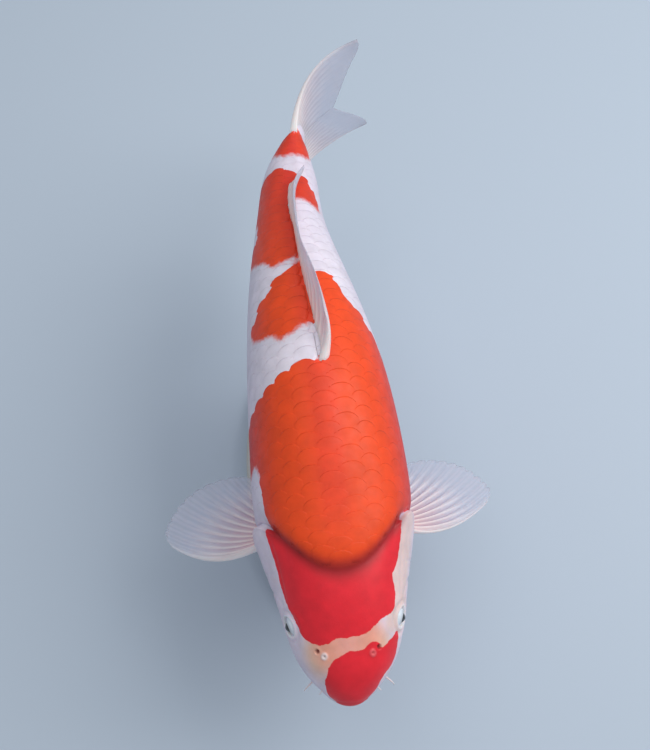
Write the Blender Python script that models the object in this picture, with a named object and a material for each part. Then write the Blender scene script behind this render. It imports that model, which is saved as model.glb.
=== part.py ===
"""Koi carp, a still, life-size model on a plain display stand.

The fish is drawn in fractions of its standard length, which runs from the snout to the end of the tail
stalk. A place on it is (u, theta): u runs along a bowed centre line from the snout (0) to the end of the
stalk (1), and theta runs round the section, 0 on the back, positive towards the fish's left, pi under the
belly. The head points to -Y, the fish's left side to +X. Left and right are the fish's own.
"""

import math

import bmesh
import bpy
import numpy as np

# Driving dimensions, in metres
STANDARD_LENGTH = 0.46
AXIS_HEIGHT = 0.155
GAP = 0.0003
EYE_RADIUS = 0.0086
EYE_STANDS_OUT = 0.0022
BASE_LENGTH = 0.27
BASE_WIDTH = 0.13
BASE_THICKNESS = 0.010
ROD_RADIUS = 0.005
SOCKET_DEPTH = 0.018

# Heading of the centre line, in degrees towards +X: (u, heading)
BEND = ((0.0, -3.4), (0.2, -5.7), (0.4, -6.8), (0.55, -9.5), (0.7, -9.3), (0.85, -3.0), (1.0, 9.0))

# Sections: (u, half width, height of the back, height of the belly), all from the centre line
SECTIONS = (
    (0.00, 0.0000, -0.022, -0.022),
    (0.01, 0.0270, 0.002, -0.046),
    (0.03, 0.0485, 0.025, -0.066),
    (0.07, 0.0765, 0.048, -0.087),
    (0.12, 0.0930, 0.073, -0.107),
    (0.20, 0.1100, 0.104, -0.132),
    (0.30, 0.1265, 0.136, -0.151),
    (0.40, 0.1255, 0.157, -0.160),
    (0.50, 0.1185, 0.164, -0.158),
    (0.62, 0.1030, 0.150, -0.142),
    (0.74, 0.0800, 0.119, -0.112),
    (0.86, 0.0570, 0.083, -0.074),
    (0.94, 0.0445, 0.066, -0.060),
    (1.00, 0.0200, 0.063, -0.060),
)
SECTION_FULLNESS = 0.9

# Where the body is parted
NAPE = 0.178
GILL_EDGE = 0.283
THROAT = 0.19
NECK_CENTRE = 0.235
TRUNK_MIDDLE = 0.56
STALK_START = 0.87

ROUND = 36


def smooth(table, at):
    """Natural cubic spline through the rows of table, whose first column is the position."""
    table = np.array(table, float)
    knots, values = table[:, 0], table[:, 1:]
    step = np.diff(knots)
    slope = np.diff(values, axis=0) / step[:, None]
    system = np.eye(len(knots))
    change = np.zeros_like(values)
    for i in range(1, len(knots) - 1):
        system[i, i - 1 : i + 2] = step[i - 1], 2 * (step[i - 1] + step[i]), step[i]
        change[i] = 6 * (slope[i] - slope[i - 1])
    second = np.linalg.solve(system, change)
    at = np.clip(np.asarray(at, float), knots[0], knots[-1])
    i = np.clip(np.searchsorted(knots, at) - 1, 0, len(knots) - 2)
    width = step[i][..., None]
    left = (knots[i + 1] - at)[..., None] / width
    right = 1 - left
    bulge = (left**3 - left) * second[i] + (right**3 - right) * second[i + 1]
    return left * values[i] + right * values[i + 1] + bulge * width**2 / 6


def trace_centre_line():
    """Points of the centre line from its heading: rows of (u, x, y, heading in radians)."""
    u = np.linspace(0, 1, 401)
    heading = np.radians(smooth(BEND, u)[:, 0])
    between = (heading[1:] + heading[:-1]) / 2
    x = np.concatenate([[0], np.cumsum(np.sin(between) * np.diff(u))])
    y = np.concatenate([[0], np.cumsum(np.cos(between) * np.diff(u))])
    return u, x, y, heading


CENTRE_LINE = trace_centre_line()
SECTION_KNOTS = [(math.sqrt(u), *sizes) for u, *sizes in SECTIONS]


def place(u, across, height):
    """World points from body fractions: along the centre line, across it to the left, and above it."""
    run, line_x, line_y, line_heading = CENTRE_LINE
    u, across, height = np.broadcast_arrays(u, across, height)
    beyond = u - np.clip(u, 0, 1)
    heading = np.interp(u, run, line_heading)
    x = np.interp(u, run, line_x) + across * np.cos(heading) + beyond * np.sin(heading)
    y = np.interp(u, run, line_y) - across * np.sin(heading) + beyond * np.cos(heading)
    return np.stack([x, y, height], -1) * STANDARD_LENGTH + (0, 0, AXIS_HEIGHT)


def fuller(wave):
    return np.sign(wave) * np.abs(wave) ** SECTION_FULLNESS


def body_point(u, theta, reach=1.0):
    """A point of the body's surface, or inside it where reach, its share of the section, is under 1."""
    half_width, back, belly = np.moveaxis(smooth(SECTION_KNOTS, np.sqrt(u)), -1, 0)
    across = half_width * fuller(np.sin(theta)) * reach
    height = (back + belly) / 2 + (back - belly) / 2 * fuller(np.cos(theta)) * reach
    return place(u, across, height)


def body_normal(u, theta):
    step = 1e-4
    along = body_point(u + step, theta) - body_point(u - step, theta)
    round_it = body_point(u, theta + step) - body_point(u, theta - step)
    normal = np.cross(round_it, along)
    return normal / np.linalg.norm(normal, axis=-1, keepdims=True)


def gill_border(theta):
    """Where the head ends: far forward at the nape and the throat, and furthest back at the sides."""
    middle = np.where(np.cos(theta) > 0, NAPE, THROAT)
    return middle + (GILL_EDGE - middle) * np.abs(np.sin(theta)) ** 1.5


def straight_border(u):
    return lambda theta: u + 0 * theta


def add_object(name, points, faces, color=(0.8, 0.8, 0.8), roughness=0.35, metallic=0.0):
    mesh = bpy.data.meshes.new(name)
    mesh.from_pydata([tuple(point) for point in points], [], faces)
    shape = bmesh.new()
    shape.from_mesh(mesh)
    bmesh.ops.recalc_face_normals(shape, faces=shape.faces)
    shape.to_mesh(mesh)
    shape.free()
    obj = bpy.data.objects.new(name, mesh)
    bpy.context.scene.collection.objects.link(obj)
    material = bpy.data.materials.new(name)
    material.use_nodes = True
    surface = material.node_tree.nodes["Principled BSDF"]
    surface.inputs["Base Color"].default_value = (*color, 1)
    surface.inputs["Roughness"].default_value = roughness
    surface.inputs["Metallic"].default_value = metallic
    mesh.materials.append(material)
    mesh.shade_smooth()
    mesh.set_sharp_from_angle(angle=math.radians(35))
    return obj


def tube(name, rings, start, end, **looks):
    """A closed tube through rings, an array of (ring, point, xyz), with a fan from a point at each end."""
    count, around = rings.shape[:2]
    points = [*rings.reshape(-1, 3), start, end]
    first, last = len(points) - 2, len(points) - 1
    faces = []
    for j in range(around):
        k = (j + 1) % around
        faces.append((first, k, j))
        faces.append((last, (count - 1) * around + j, (count - 1) * around + k))
        for i in range(count - 1):
            row, below = i * around, (i + 1) * around
            faces.append((row + j, row + k, below + k, below + j))
    return add_object(name, points, faces, **looks)


def slab(name, front, back, **looks):
    """A closed slab between two like grids, arrays of (row, column, xyz)."""
    rows, columns = front.shape[:2]
    points = [*front.reshape(-1, 3), *back.reshape(-1, 3)]
    behind = rows * columns
    faces = []
    for i in range(rows - 1):
        for j in range(columns - 1):
            corner = i * columns + j
            quad = (corner, corner + 1, corner + columns + 1, corner + columns)
            faces.append(quad)
            faces.append(tuple(behind + index for index in reversed(quad)))
    top = list(range(columns))
    right = [i * columns + columns - 1 for i in range(1, rows)]
    bottom = [(rows - 1) * columns + j for j in range(columns - 2, -1, -1)]
    left = [i * columns for i in range(rows - 2, 0, -1)]
    rim = top + right + bottom + left
    for here, following in zip(rim, rim[1:] + rim[:1]):
        faces.append((here, behind + here, behind + following, following))
    return add_object(name, points, faces, **looks)


def combine(obj, other, operation):
    modifier = obj.modifiers.new(operation.lower(), "BOOLEAN")
    modifier.operation = operation
    modifier.object = other
    modifier.solver = "EXACT"


def as_cutter(obj):
    obj.hide_render = True
    obj.display_type = "WIRE"
    return obj


def body_piece(name, border_from, border_to, rows, **looks):
    """A length of the body between two borders, functions of theta, with half the gap left at each."""
    theta = np.linspace(0, 2 * math.pi, ROUND, endpoint=False)
    half_gap = GAP / 2 / STANDARD_LENGTH
    start = border_from(theta) + half_gap
    end = border_to(theta) - half_gap
    share = np.linspace(0, 1, rows)[:, None]
    u = start + (end - start) * share
    rings = body_point(u, theta)
    start_middle = NECK_CENTRE if border_from is gill_border else start[0]
    return tube(name, rings, place(start_middle + half_gap, 0, 0), place(end[0], 0, 0), **looks)


def head_core(name, **looks):
    """The whole head, from the tip of the snout to the gill border, its rows closest at the snout."""
    theta = np.linspace(0, 2 * math.pi, ROUND, endpoint=False)
    share = np.linspace(0, 1, 17)[1:, None] ** 1.6
    half_gap = GAP / 2 / STANDARD_LENGTH
    u = (gill_border(theta) - half_gap) * share
    end = place(NECK_CENTRE - half_gap, 0, 0)
    return tube(name, body_point(u, theta), body_point(0.0, 0.0), end, **looks)


def whole_body_with_gap():
    """The outline of the whole body, grown by the gap: the cutter that trims whatever grows from the skin."""
    theta = np.linspace(0, 2 * math.pi, ROUND, endpoint=False)
    past_end = 1 + GAP / STANDARD_LENGTH
    u = past_end * np.linspace(0, 1, 50)[1:, None] ** 1.3
    rings = body_point(u, theta) + body_normal(u, theta) * GAP
    snout = body_point(0.0, 0.0) - (0, GAP, 0)
    return as_cutter(tube("cutter_whole_body", rings, snout, place(past_end, 0, 0)))


# The head

MOUTH_HEIGHT = -0.024
MOUTH_CORNER = (0.032, -0.031)
JAW_REAR = 0.092
GILL_COVER_FRONT = 0.62
GILL_COVER_COLUMNS = (5, 15)
GILL_COVER_INNER = 0.86
EYE_PLACE = (0.119, math.radians(65))
# Feelers: (name, u, theta in degrees, length, root radius)
FEELERS = (("upper", 0.024, 84, 0.010, 0.0010), ("corner", 0.042, 105, 0.021, 0.0014))


def jaw_wedge(name, growth):
    """A prism across the head, under the mouth slit and ahead of the throat."""
    corner_u, corner_height = MOUTH_CORNER
    growth = growth / STANDARD_LENGTH
    outline = (
        (-0.05, MOUTH_HEIGHT + growth),
        (corner_u + growth, corner_height + growth),
        (JAW_REAR + growth, -0.15),
        (-0.05, -0.15),
    )
    sides = []
    for across in (-0.12, 0.12):
        sides += [place(u, across, height) for u, height in outline]
    faces = [(3, 2, 1, 0), (4, 5, 6, 7)] + [(i, (i + 1) % 4, (i + 1) % 4 + 4, i + 4) for i in range(4)]
    return as_cutter(add_object(name, sides, faces))


def gill_cover(name, side, growth=0.0, **looks):
    """A curved plate over the gills, from the cheek back to the gill border. Growth makes its cutter."""
    margin = growth / 0.05
    rear = 1.2 if growth else 1 - GAP / 2 / STANDARD_LENGTH / GILL_EDGE
    share = np.linspace(GILL_COVER_FRONT - margin, rear, 6)[:, None]
    top, foot = GILL_COVER_COLUMNS
    columns = np.linspace(top, foot, foot - top + 1)
    columns[0] -= margin * ROUND / 2 / math.pi
    columns[-1] += margin * ROUND / 2 / math.pi
    theta = side * columns * 2 * math.pi / ROUND
    surface = body_point(gill_border(theta) * share, theta)
    middle = place(NECK_CENTRE * share, 0, 0)
    outside = middle + (surface - middle) * (1.2 if growth else 1.0)
    inside = middle + (surface - middle) * (GILL_COVER_INNER - margin)
    return slab(name, outside, inside, **looks)


def eye_centre(side):
    u, theta = EYE_PLACE
    surface = body_point(u, side * theta)
    return surface - body_normal(u, side * theta) * (EYE_RADIUS - EYE_STANDS_OUT)


def ball(name, centre, radius, **looks):
    """A ball whose poles lie across the fish, so that its rings run round the pupil."""
    tilt = np.linspace(0, math.pi, 11)[1:-1, None]
    turn = np.linspace(0, 2 * math.pi, 20, endpoint=False)[None, :]
    rings = np.stack([np.cos(tilt) + 0 * turn, np.sin(tilt) * np.cos(turn), np.sin(tilt) * np.sin(turn)], -1)
    poles = np.array([[1, 0, 0], [-1, 0, 0]])
    return tube(name, centre + rings * radius, *(centre + poles * radius), **looks)


def feeler(name, side, u, theta, length, radius, trim, **looks):
    """A soft feeler beside the mouth: it leaves the lip outwards and curls down."""
    theta = side * math.radians(theta)
    out = body_normal(u, theta)
    root = body_point(u, theta) - out * 2 * radius
    tip = root + out * length * 0.5 + np.array([0, 0.1, -0.8]) * length
    bend = root + out * length * 0.6
    share = np.linspace(0, 1, 7)[:, None]
    line = (1 - share) ** 2 * root + 2 * share * (1 - share) * bend + share**2 * tip
    ahead = np.gradient(line, axis=0)
    ahead /= np.linalg.norm(ahead, axis=1, keepdims=True)
    flat = np.cross(ahead, (0, 1, 0))
    flat /= np.linalg.norm(flat, axis=1, keepdims=True)
    upright = np.cross(flat, ahead)
    turn = np.linspace(0, 2 * math.pi, 8, endpoint=False)[None, :, None]
    thick = radius * (1 - 0.7 * share[:, None, :])
    rings = line[:, None] + (flat[:, None] * np.cos(turn) + upright[:, None] * np.sin(turn)) * thick
    root_end = line[0] - ahead[0] * radius
    obj = tube(name, rings, root_end, tip + ahead[-1] * radius * 0.3, **looks)
    combine(obj, trim, "DIFFERENCE")


def build_head(trim):
    red = {"color": (0.72, 0.09, 0.07), "roughness": 0.3}
    pale = {"color": (0.84, 0.74, 0.74), "roughness": 0.3}
    head = head_core("head", **red)
    jaw = head_core("lower_jaw", **pale)
    combine(jaw, jaw_wedge("cutter_jaw", 0.0), "INTERSECT")
    combine(head, jaw_wedge("cutter_jaw_room", GAP), "DIFFERENCE")
    for side, word in ((1, "left"), (-1, "right")):
        gill_cover(f"gill_cover_{word}", side, **pale)
        combine(head, as_cutter(gill_cover(f"cutter_gill_{word}", side, GAP)), "DIFFERENCE")
        centre = eye_centre(side)
        ball(f"eye_{word}", centre, EYE_RADIUS, color=(0.03, 0.03, 0.04), roughness=0.08)
        combine(head, as_cutter(ball(f"cutter_eye_{word}", centre, EYE_RADIUS + GAP)), "DIFFERENCE")
        for place_word, *sizes in FEELERS:
            feeler(f"feeler_{place_word}_{word}", side, *sizes, trim, **pale)


# The fins: each is a fan of rays from a root to a free edge, thick at the root and thin at the edge

FIN_EDGE = 0.0007
FIN_STEPS = 6


def ray_fin(name, roots, tips, bow, root_thickness, trim, **looks):
    """A fin from arrays of its rays' roots and tips. Bow is how far each ray stands off its straight line."""
    share = np.linspace(0, 1, FIN_STEPS)[:, None, None]
    sheet = roots + (tips - roots) * share + bow * 4 * share * (1 - share)
    out = np.gradient(sheet, axis=0)
    across = np.gradient(sheet, axis=1)
    normal = np.cross(out, across)
    normal /= np.linalg.norm(normal, axis=-1, keepdims=True)
    thickness = FIN_EDGE + (root_thickness - FIN_EDGE) * (1 - share) ** 2.2
    obj = slab(name, sheet + normal * thickness / 2, sheet - normal * thickness / 2, **looks)
    combine(obj, trim, "DIFFERENCE")


FIN_PALE = {"color": (0.78, 0.70, 0.74), "roughness": 0.4}
FIN_ROOT_INSET = 0.012

# Middle fins: (share of the base, u of the ray's tip, its height over the body, its lean to the left)
DORSAL_BASE = (0.483, 0.87)
DORSAL_TIPS = (
    (0.0, 0.556, 0.042, 0.020),
    (0.12, 0.616, 0.047, 0.019),
    (0.35, 0.703, 0.043, 0.008),
    (0.62, 0.795, 0.038, 0.006),
    (0.85, 0.868, 0.030, 0.012),
    (1.0, 0.908, 0.020, 0.026),
)
ANAL_BASE = (0.775, 0.852)
ANAL_TIPS = (
    (0.0, 0.842, 0.098, 0.0),
    (0.2, 0.868, 0.103, 0.0),
    (0.5, 0.890, 0.085, 0.002),
    (0.8, 0.905, 0.060, 0.004),
    (1.0, 0.912, 0.036, 0.005),
)


def middle_fin(name, base, tips, rays, theta, trim):
    """A fin on the back (theta 0) or under the tail (theta pi), its rays swept back."""
    share = np.linspace(0, 1, rays)
    u = base[0] + (base[1] - base[0]) * share
    up = math.cos(theta)
    surface = body_point(u, theta)
    roots = surface - np.array([0, 0, up]) * FIN_ROOT_INSET * 0.4
    tip_u, height, lean = np.moveaxis(smooth(tips, share), -1, 0)
    over = (body_point(tip_u, theta)[:, 2] - AXIS_HEIGHT) / STANDARD_LENGTH + height * up
    bow = np.stack([lean * 0.2, 0 * lean, 0.004 * up + 0 * lean], -1)
    ray_fin(name, roots, place(tip_u, lean, over), bow, 0.0042, trim, **FIN_PALE)


# Paired fins: the root from front to rear as (u, theta in degrees), and the rays' tips as (share of the
# root, heading of the ray in degrees back from straight out, length), the share running from the front ray
PECTORAL_ROOT = ((0.288, 118), (0.322, 138))
PECTORAL_TIPS = (
    (0.0, 3, 0.158),
    (0.1, 8, 0.173),
    (0.25, 15, 0.177),
    (0.4, 24, 0.172),
    (0.55, 34, 0.162),
    (0.7, 45, 0.146),
    (0.85, 57, 0.126),
    (1.0, 68, 0.104),
)
PECTORAL_SWING = {"left": (10, 0.78), "right": (1, 1.0)}
PECTORAL_DROP = 0.16
PELVIC_ROOT = ((0.492, 152), (0.512, 164))
PELVIC_TIPS = (
    (0.0, 64, 0.122),
    (0.2, 70, 0.136),
    (0.5, 77, 0.130),
    (0.8, 85, 0.106),
    (1.0, 93, 0.080),
)
PELVIC_DROP = 0.42


def paired_fin(name, side, root, tips, swing, drop, rays, trim):
    """A fin on one side. Swing is (degrees back, share of the spread), and drop its fall for each length."""
    share = np.linspace(0, 1, rays)
    (front_u, front_theta), (rear_u, rear_theta) = root
    u = front_u + (rear_u - front_u) * share
    theta = side * np.radians(front_theta + (rear_theta - front_theta) * share)
    inward = body_normal(u, theta) * FIN_ROOT_INSET * 0.5
    surface = body_point(u, theta)
    back, length = np.moveaxis(smooth(tips, share), -1, 0)
    run, _, _, line_heading = CENTRE_LINE
    heading = np.interp(u, run, line_heading)
    turn, spread = swing
    angle = np.radians(back * spread + turn)
    out = side * np.cos(angle)
    along = np.sin(angle)
    x = out * np.cos(heading) + along * np.sin(heading)
    y = -out * np.sin(heading) + along * np.cos(heading)
    tips = surface + np.stack([x, y, -drop + 0 * x], -1) * (length * STANDARD_LENGTH)[:, None]
    forward_bow = (1 - share)[:, None] * np.array([0, -0.015, 0]) + np.array([0, 0, 0.005])
    ray_fin(name, surface - inward, tips, forward_bow, 0.0045, trim, **FIN_PALE)


# The tail fin, swept to the left: (share from the leading ray to the fork, distance to the left, back and
# up of the ray's tip from the middle of the stalk's end), and how far the leading and fork rays bow outwards
TAIL_ROOT_REACH = 0.058
UPPER_LOBE_TIPS = (
    (0.0, 0.112, 0.144, 0.136),
    (0.12, 0.116, 0.140, 0.126),
    (0.35, 0.104, 0.126, 0.098),
    (0.7, 0.084, 0.106, 0.046),
    (1.0, 0.070, 0.096, 0.004),
)
LOWER_LOBE_TIPS = (
    (0.0, 0.138, 0.160, -0.138),
    (0.12, 0.138, 0.157, -0.126),
    (0.35, 0.124, 0.142, -0.090),
    (0.7, 0.092, 0.114, -0.036),
    (1.0, 0.071, 0.096, -0.003),
)
UPPER_BOW = 0.036
FORK_BOW = 0.012
LOWER_BOW = 0.018
LEADING_CURVE = 0.012


def tail_lobe(name, up, tips, leading_bow, trim):
    """Half of the tail fin. Its leading ray runs along the top, or the bottom, of the stalk."""
    share = np.linspace(0, 1, 10)
    left, back, height = np.moveaxis(smooth(tips, share), -1, 0)
    middle = place(1.0, 0.0, 0.0)
    tip = middle + np.stack([left, back, height], -1) * STANDARD_LENGTH
    root_height = up * (TAIL_ROOT_REACH * (1 - share) + GAP / STANDARD_LENGTH)
    roots = place(0.985, 0.0, root_height)
    chord = tip - roots
    sideways = np.stack([-chord[:, 1], chord[:, 0], 0 * left], -1)
    sideways /= np.linalg.norm(sideways, axis=1, keepdims=True)
    bow = leading_bow * (1 - share) + FORK_BOW * share
    outwards = np.array([0, 0, up]) * LEADING_CURVE * (1 - share[:, None])
    bows = (sideways * bow[:, None] + outwards) * STANDARD_LENGTH
    ray_fin(name, roots, tip, bows, 0.0075, trim, **FIN_PALE)


def build_fins(trim):
    middle_fin("dorsal_fin", DORSAL_BASE, DORSAL_TIPS, 14, 0.0, trim)
    middle_fin("anal_fin", ANAL_BASE, ANAL_TIPS, 8, math.pi, trim)
    for side, word in ((1, "left"), (-1, "right")):
        swing = PECTORAL_SWING[word]
        paired_fin(f"pectoral_fin_{word}", side, PECTORAL_ROOT, PECTORAL_TIPS, swing, PECTORAL_DROP, 12, trim)
        paired_fin(f"pelvic_fin_{word}", side, PELVIC_ROOT, PELVIC_TIPS, (0, 1), PELVIC_DROP, 8, trim)
    tail_lobe("tail_fin_upper", 1, UPPER_LOBE_TIPS, UPPER_BOW, trim)
    tail_lobe("tail_fin_lower", -1, LOWER_LOBE_TIPS, LOWER_BOW, trim)


def build_trunk():
    orange = {"color": (0.86, 0.22, 0.07), "roughness": 0.32}
    white = {"color": (0.83, 0.78, 0.79), "roughness": 0.32}
    middle = straight_border(TRUNK_MIDDLE)
    stalk = straight_border(STALK_START)
    front = body_piece("trunk_front", gill_border, middle, 12, **orange)
    rear = body_piece("trunk_rear", middle, stalk, 11, **white)
    body_piece("tail_stalk", stalk, straight_border(1 + GAP / 2 / STANDARD_LENGTH), 8, **white)
    return front, rear


# The stand

ROD_PLACES = (0.32, 0.60)


def upright_cylinder(name, centre, bottom, top, radius_x, radius_y, sides, turned=0.0, **looks):
    angle = np.linspace(0, 2 * math.pi, sides, endpoint=False)
    long_way, short_way = radius_y * np.cos(angle), radius_x * np.sin(angle)
    x = centre[0] + long_way * math.sin(turned) + short_way * math.cos(turned)
    y = centre[1] + long_way * math.cos(turned) - short_way * math.sin(turned)
    rings = np.stack([np.stack([x, y, level + 0 * x], -1) for level in (bottom, top)])
    ends = [(centre[0], centre[1], level) for level in (bottom, top)]
    return tube(name, rings, *ends, **looks)


def build_stand(front, rear):
    middle_u = sum(ROD_PLACES) / 2
    centre = place(middle_u, 0.0, 0.0)
    run, _, _, line_heading = CENTRE_LINE
    turned = float(np.interp(middle_u, run, line_heading))
    grey = {"color": (0.72, 0.72, 0.71), "roughness": 0.5}
    size = (BASE_WIDTH / 2, BASE_LENGTH / 2, 56)
    base = upright_cylinder("stand_base", centre, 0.0, BASE_THICKNESS, *size, turned, **grey)
    rim = base.modifiers.new("eased rim", "BEVEL")
    rim.width = 0.0015
    rim.segments = 1
    rim.angle_limit = math.radians(60)
    steel = {"color": (0.62, 0.62, 0.63), "roughness": 0.3, "metallic": 1.0}
    for word, u, piece in (("front", ROD_PLACES[0], front), ("rear", ROD_PLACES[1], rear)):
        foot = place(u, 0.0, 0.0)
        top = body_point(u, math.pi)[2] + SOCKET_DEPTH
        radii = (ROD_RADIUS, ROD_RADIUS, 24)
        upright_cylinder(f"stand_rod_{word}", foot, BASE_THICKNESS + GAP, top, *radii, **steel)
        room = (ROD_RADIUS + GAP, ROD_RADIUS + GAP, 24)
        socket = upright_cylinder(f"cutter_socket_{word}", foot, BASE_THICKNESS, top + GAP, *room)
        combine(piece, as_cutter(socket), "DIFFERENCE")


def centre_on_floor():
    """Moves everything so that the middle of the whole model's outline stands over the origin."""
    bpy.context.view_layer.update()
    graph = bpy.context.evaluated_depsgraph_get()
    corners = []
    for obj in bpy.context.scene.objects:
        if not obj.hide_render:
            corners += [tuple(corner) for corner in obj.evaluated_get(graph).bound_box]
    corners = np.array(corners)
    middle = (corners.min(axis=0) + corners.max(axis=0)) / 2
    for obj in bpy.context.scene.objects:
        obj.location = (-middle[0], -middle[1], 0)


for old in list(bpy.data.objects):
    bpy.data.objects.remove(old, do_unlink=True)
body_outline = whole_body_with_gap()
build_head(body_outline)
trunk_front, trunk_rear = build_trunk()
build_fins(body_outline)
build_stand(trunk_front, trunk_rear)
centre_on_floor()
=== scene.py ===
"""Koi carp: the looks of a still, life-size model on a plain display stand.

The fish lies head to -Y. A place on it is (u, theta): u runs from the snout (0) to the end of the tail stalk
(1) along a bowed centre line, and theta runs round the section, from the back (0) over the fish's left side
(+X) to the belly (pi). Left and right are the fish's own. Sizes are shares of the standard length or metres.
"""

import math

import bpy
import numpy as np
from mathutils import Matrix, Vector


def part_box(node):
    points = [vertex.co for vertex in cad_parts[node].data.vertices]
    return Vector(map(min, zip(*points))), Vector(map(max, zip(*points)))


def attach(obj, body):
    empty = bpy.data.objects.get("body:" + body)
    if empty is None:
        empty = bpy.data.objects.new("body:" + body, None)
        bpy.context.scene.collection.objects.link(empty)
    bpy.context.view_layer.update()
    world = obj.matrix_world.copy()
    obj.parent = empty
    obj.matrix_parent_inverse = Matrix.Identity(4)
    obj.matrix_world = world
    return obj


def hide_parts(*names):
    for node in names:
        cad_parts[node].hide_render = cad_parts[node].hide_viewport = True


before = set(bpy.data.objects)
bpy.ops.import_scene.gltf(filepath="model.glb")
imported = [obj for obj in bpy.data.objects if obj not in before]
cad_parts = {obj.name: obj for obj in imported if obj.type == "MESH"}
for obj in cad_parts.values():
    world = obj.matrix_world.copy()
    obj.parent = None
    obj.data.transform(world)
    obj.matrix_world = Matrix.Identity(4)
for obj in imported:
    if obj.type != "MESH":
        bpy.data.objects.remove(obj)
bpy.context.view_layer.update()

# The form of the body. A carp is a deep, round-backed fish, and this one bends its tail to its left. The
# sections are the solid model's own, so that whatever is laid on this form fits the solids under it.

STANDARD_LENGTH = 0.46
AXIS_HEIGHT = 0.155
SECTION_FULLNESS = 0.9
FRONT_ROD_PLACE = 0.32

# Heading of the centre line, in degrees towards +X: (u, heading)
BEND = ((0.0, -3.4), (0.2, -5.7), (0.4, -6.8), (0.55, -9.5), (0.7, -9.3), (0.85, -3.0), (1.0, 9.0))

# Sections: (u, half width, height of the back, height of the belly), all from the centre line
SECTIONS = (
    (0.00, 0.0000, -0.022, -0.022),
    (0.01, 0.0270, 0.002, -0.046),
    (0.03, 0.0485, 0.025, -0.066),
    (0.07, 0.0765, 0.048, -0.087),
    (0.12, 0.0930, 0.073, -0.107),
    (0.20, 0.1100, 0.104, -0.132),
    (0.30, 0.1265, 0.136, -0.151),
    (0.40, 0.1255, 0.157, -0.160),
    (0.50, 0.1185, 0.164, -0.158),
    (0.62, 0.1030, 0.150, -0.142),
    (0.74, 0.0800, 0.119, -0.112),
    (0.86, 0.0570, 0.083, -0.074),
    (0.94, 0.0445, 0.066, -0.060),
    (1.00, 0.0200, 0.063, -0.060),
)

# The gill opening, which parts the head from the body: its u at the nape, at the throat and at the sides
NAPE = 0.178
THROAT = 0.19
GILL_EDGE = 0.283

# Past the stalk's end the flesh thins into the tail fin and turns left with its rays. It ends in a curve that
# reaches furthest back at mid height, and it sweeps further left lower down.
FLESH_END = 1.052
FLESH_CURVE = 0.03
THIN_FROM = 0.985
THINNED = 0.97
FLESH_SWEEP = 0.015
SWEEP_BELOW = 11.0


def smooth(table, at):
    """Natural cubic spline through the rows of table, whose first column is the position."""
    table = np.array(table, float)
    knots, values = table[:, 0], table[:, 1:]
    step = np.diff(knots)
    slope = np.diff(values, axis=0) / step[:, None]
    system = np.eye(len(knots))
    change = np.zeros_like(values)
    for i in range(1, len(knots) - 1):
        system[i, i - 1 : i + 2] = step[i - 1], 2 * (step[i - 1] + step[i]), step[i]
        change[i] = 6 * (slope[i] - slope[i - 1])
    second = np.linalg.solve(system, change)
    at = np.clip(np.asarray(at, float), knots[0], knots[-1])
    i = np.clip(np.searchsorted(knots, at) - 1, 0, len(knots) - 2)
    width = step[i][..., None]
    left = (knots[i + 1] - at)[..., None] / width
    right = 1 - left
    bulge = (left**3 - left) * second[i] + (right**3 - right) * second[i + 1]
    return left * values[i] + right * values[i + 1] + bulge * width**2 / 6


def ease(x, low, high):
    """0 up to low, 1 from high, and an S-curve between. Low may be above high, which turns it round."""
    share = np.clip((x - low) / (high - low), 0, 1)
    return share * share * (3 - 2 * share)


def hill(x, width):
    """A rounded hill of height 1 at x = 0."""
    return np.exp(-((x / width) ** 2))


def span(x, start, full, fading, gone):
    """1 from full to fading, 0 outside start and gone, and S-curves between."""
    return ease(x, start, full) * ease(x, gone, fading)


def trace_centre_line():
    """Points of the centre line from its heading: u, x, y and the heading in radians."""
    u = np.linspace(0, 1, 401)
    heading = np.radians(smooth(BEND, u)[:, 0])
    between = (heading[1:] + heading[:-1]) / 2
    x = np.concatenate([[0], np.cumsum(np.sin(between) * np.diff(u))])
    y = np.concatenate([[0], np.cumsum(np.cos(between) * np.diff(u))])
    return u, x, y, heading


CENTRE_LINE = trace_centre_line()
SECTION_KNOTS = [(math.sqrt(u), *sizes) for u, *sizes in SECTIONS]


def place_from_snout(u, across, height):
    """Points from body fractions: along the centre line, across it to the left, and above it."""
    run, line_x, line_y, line_heading = CENTRE_LINE
    u, across, height = np.broadcast_arrays(u, across, height)
    beyond = u - np.clip(u, 0, 1)
    heading = np.interp(u, run, line_heading)
    x = np.interp(u, run, line_x) + across * np.cos(heading) + beyond * np.sin(heading)
    y = np.interp(u, run, line_y) - across * np.sin(heading) + beyond * np.cos(heading)
    return np.stack([x, y, height], -1) * STANDARD_LENGTH + (0, 0, AXIS_HEIGHT)


rod_low, rod_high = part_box("stand_rod_front")
rod_middle = np.array((rod_low + rod_high) / 2)
FROM_SNOUT = rod_middle - place_from_snout(FRONT_ROD_PLACE, 0, 0)
FROM_SNOUT[2] = 0


def place(u, across, height):
    """Points in the model's own frame, from body fractions."""
    return place_from_snout(u, across, height) + FROM_SNOUT


def fuller(wave):
    return np.sign(wave) * np.abs(wave) ** SECTION_FULLNESS


def sizes(u):
    """Half width, back height and belly height at u."""
    return np.moveaxis(smooth(SECTION_KNOTS, np.sqrt(np.maximum(u, 0))), -1, 0)


def flesh_end(theta):
    return FLESH_END - FLESH_CURVE * np.cos(theta) ** 2


def section(u, theta):
    """How far across and above the centre line a place on the body is."""
    half_width, back, belly = sizes(u)
    half_width = half_width * (1 - THINNED * ease(u, THIN_FROM, flesh_end(theta)))
    across = half_width * fuller(np.sin(theta))
    height = (back + belly) / 2 + (back - belly) / 2 * fuller(np.cos(theta))
    past = np.maximum(u - THIN_FROM, 0) / (FLESH_END - THIN_FROM)
    return across + past**2 * FLESH_SWEEP * (1 - SWEEP_BELOW * height), height


def body_point(u, theta):
    return place(u, *section(u, theta))


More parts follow.
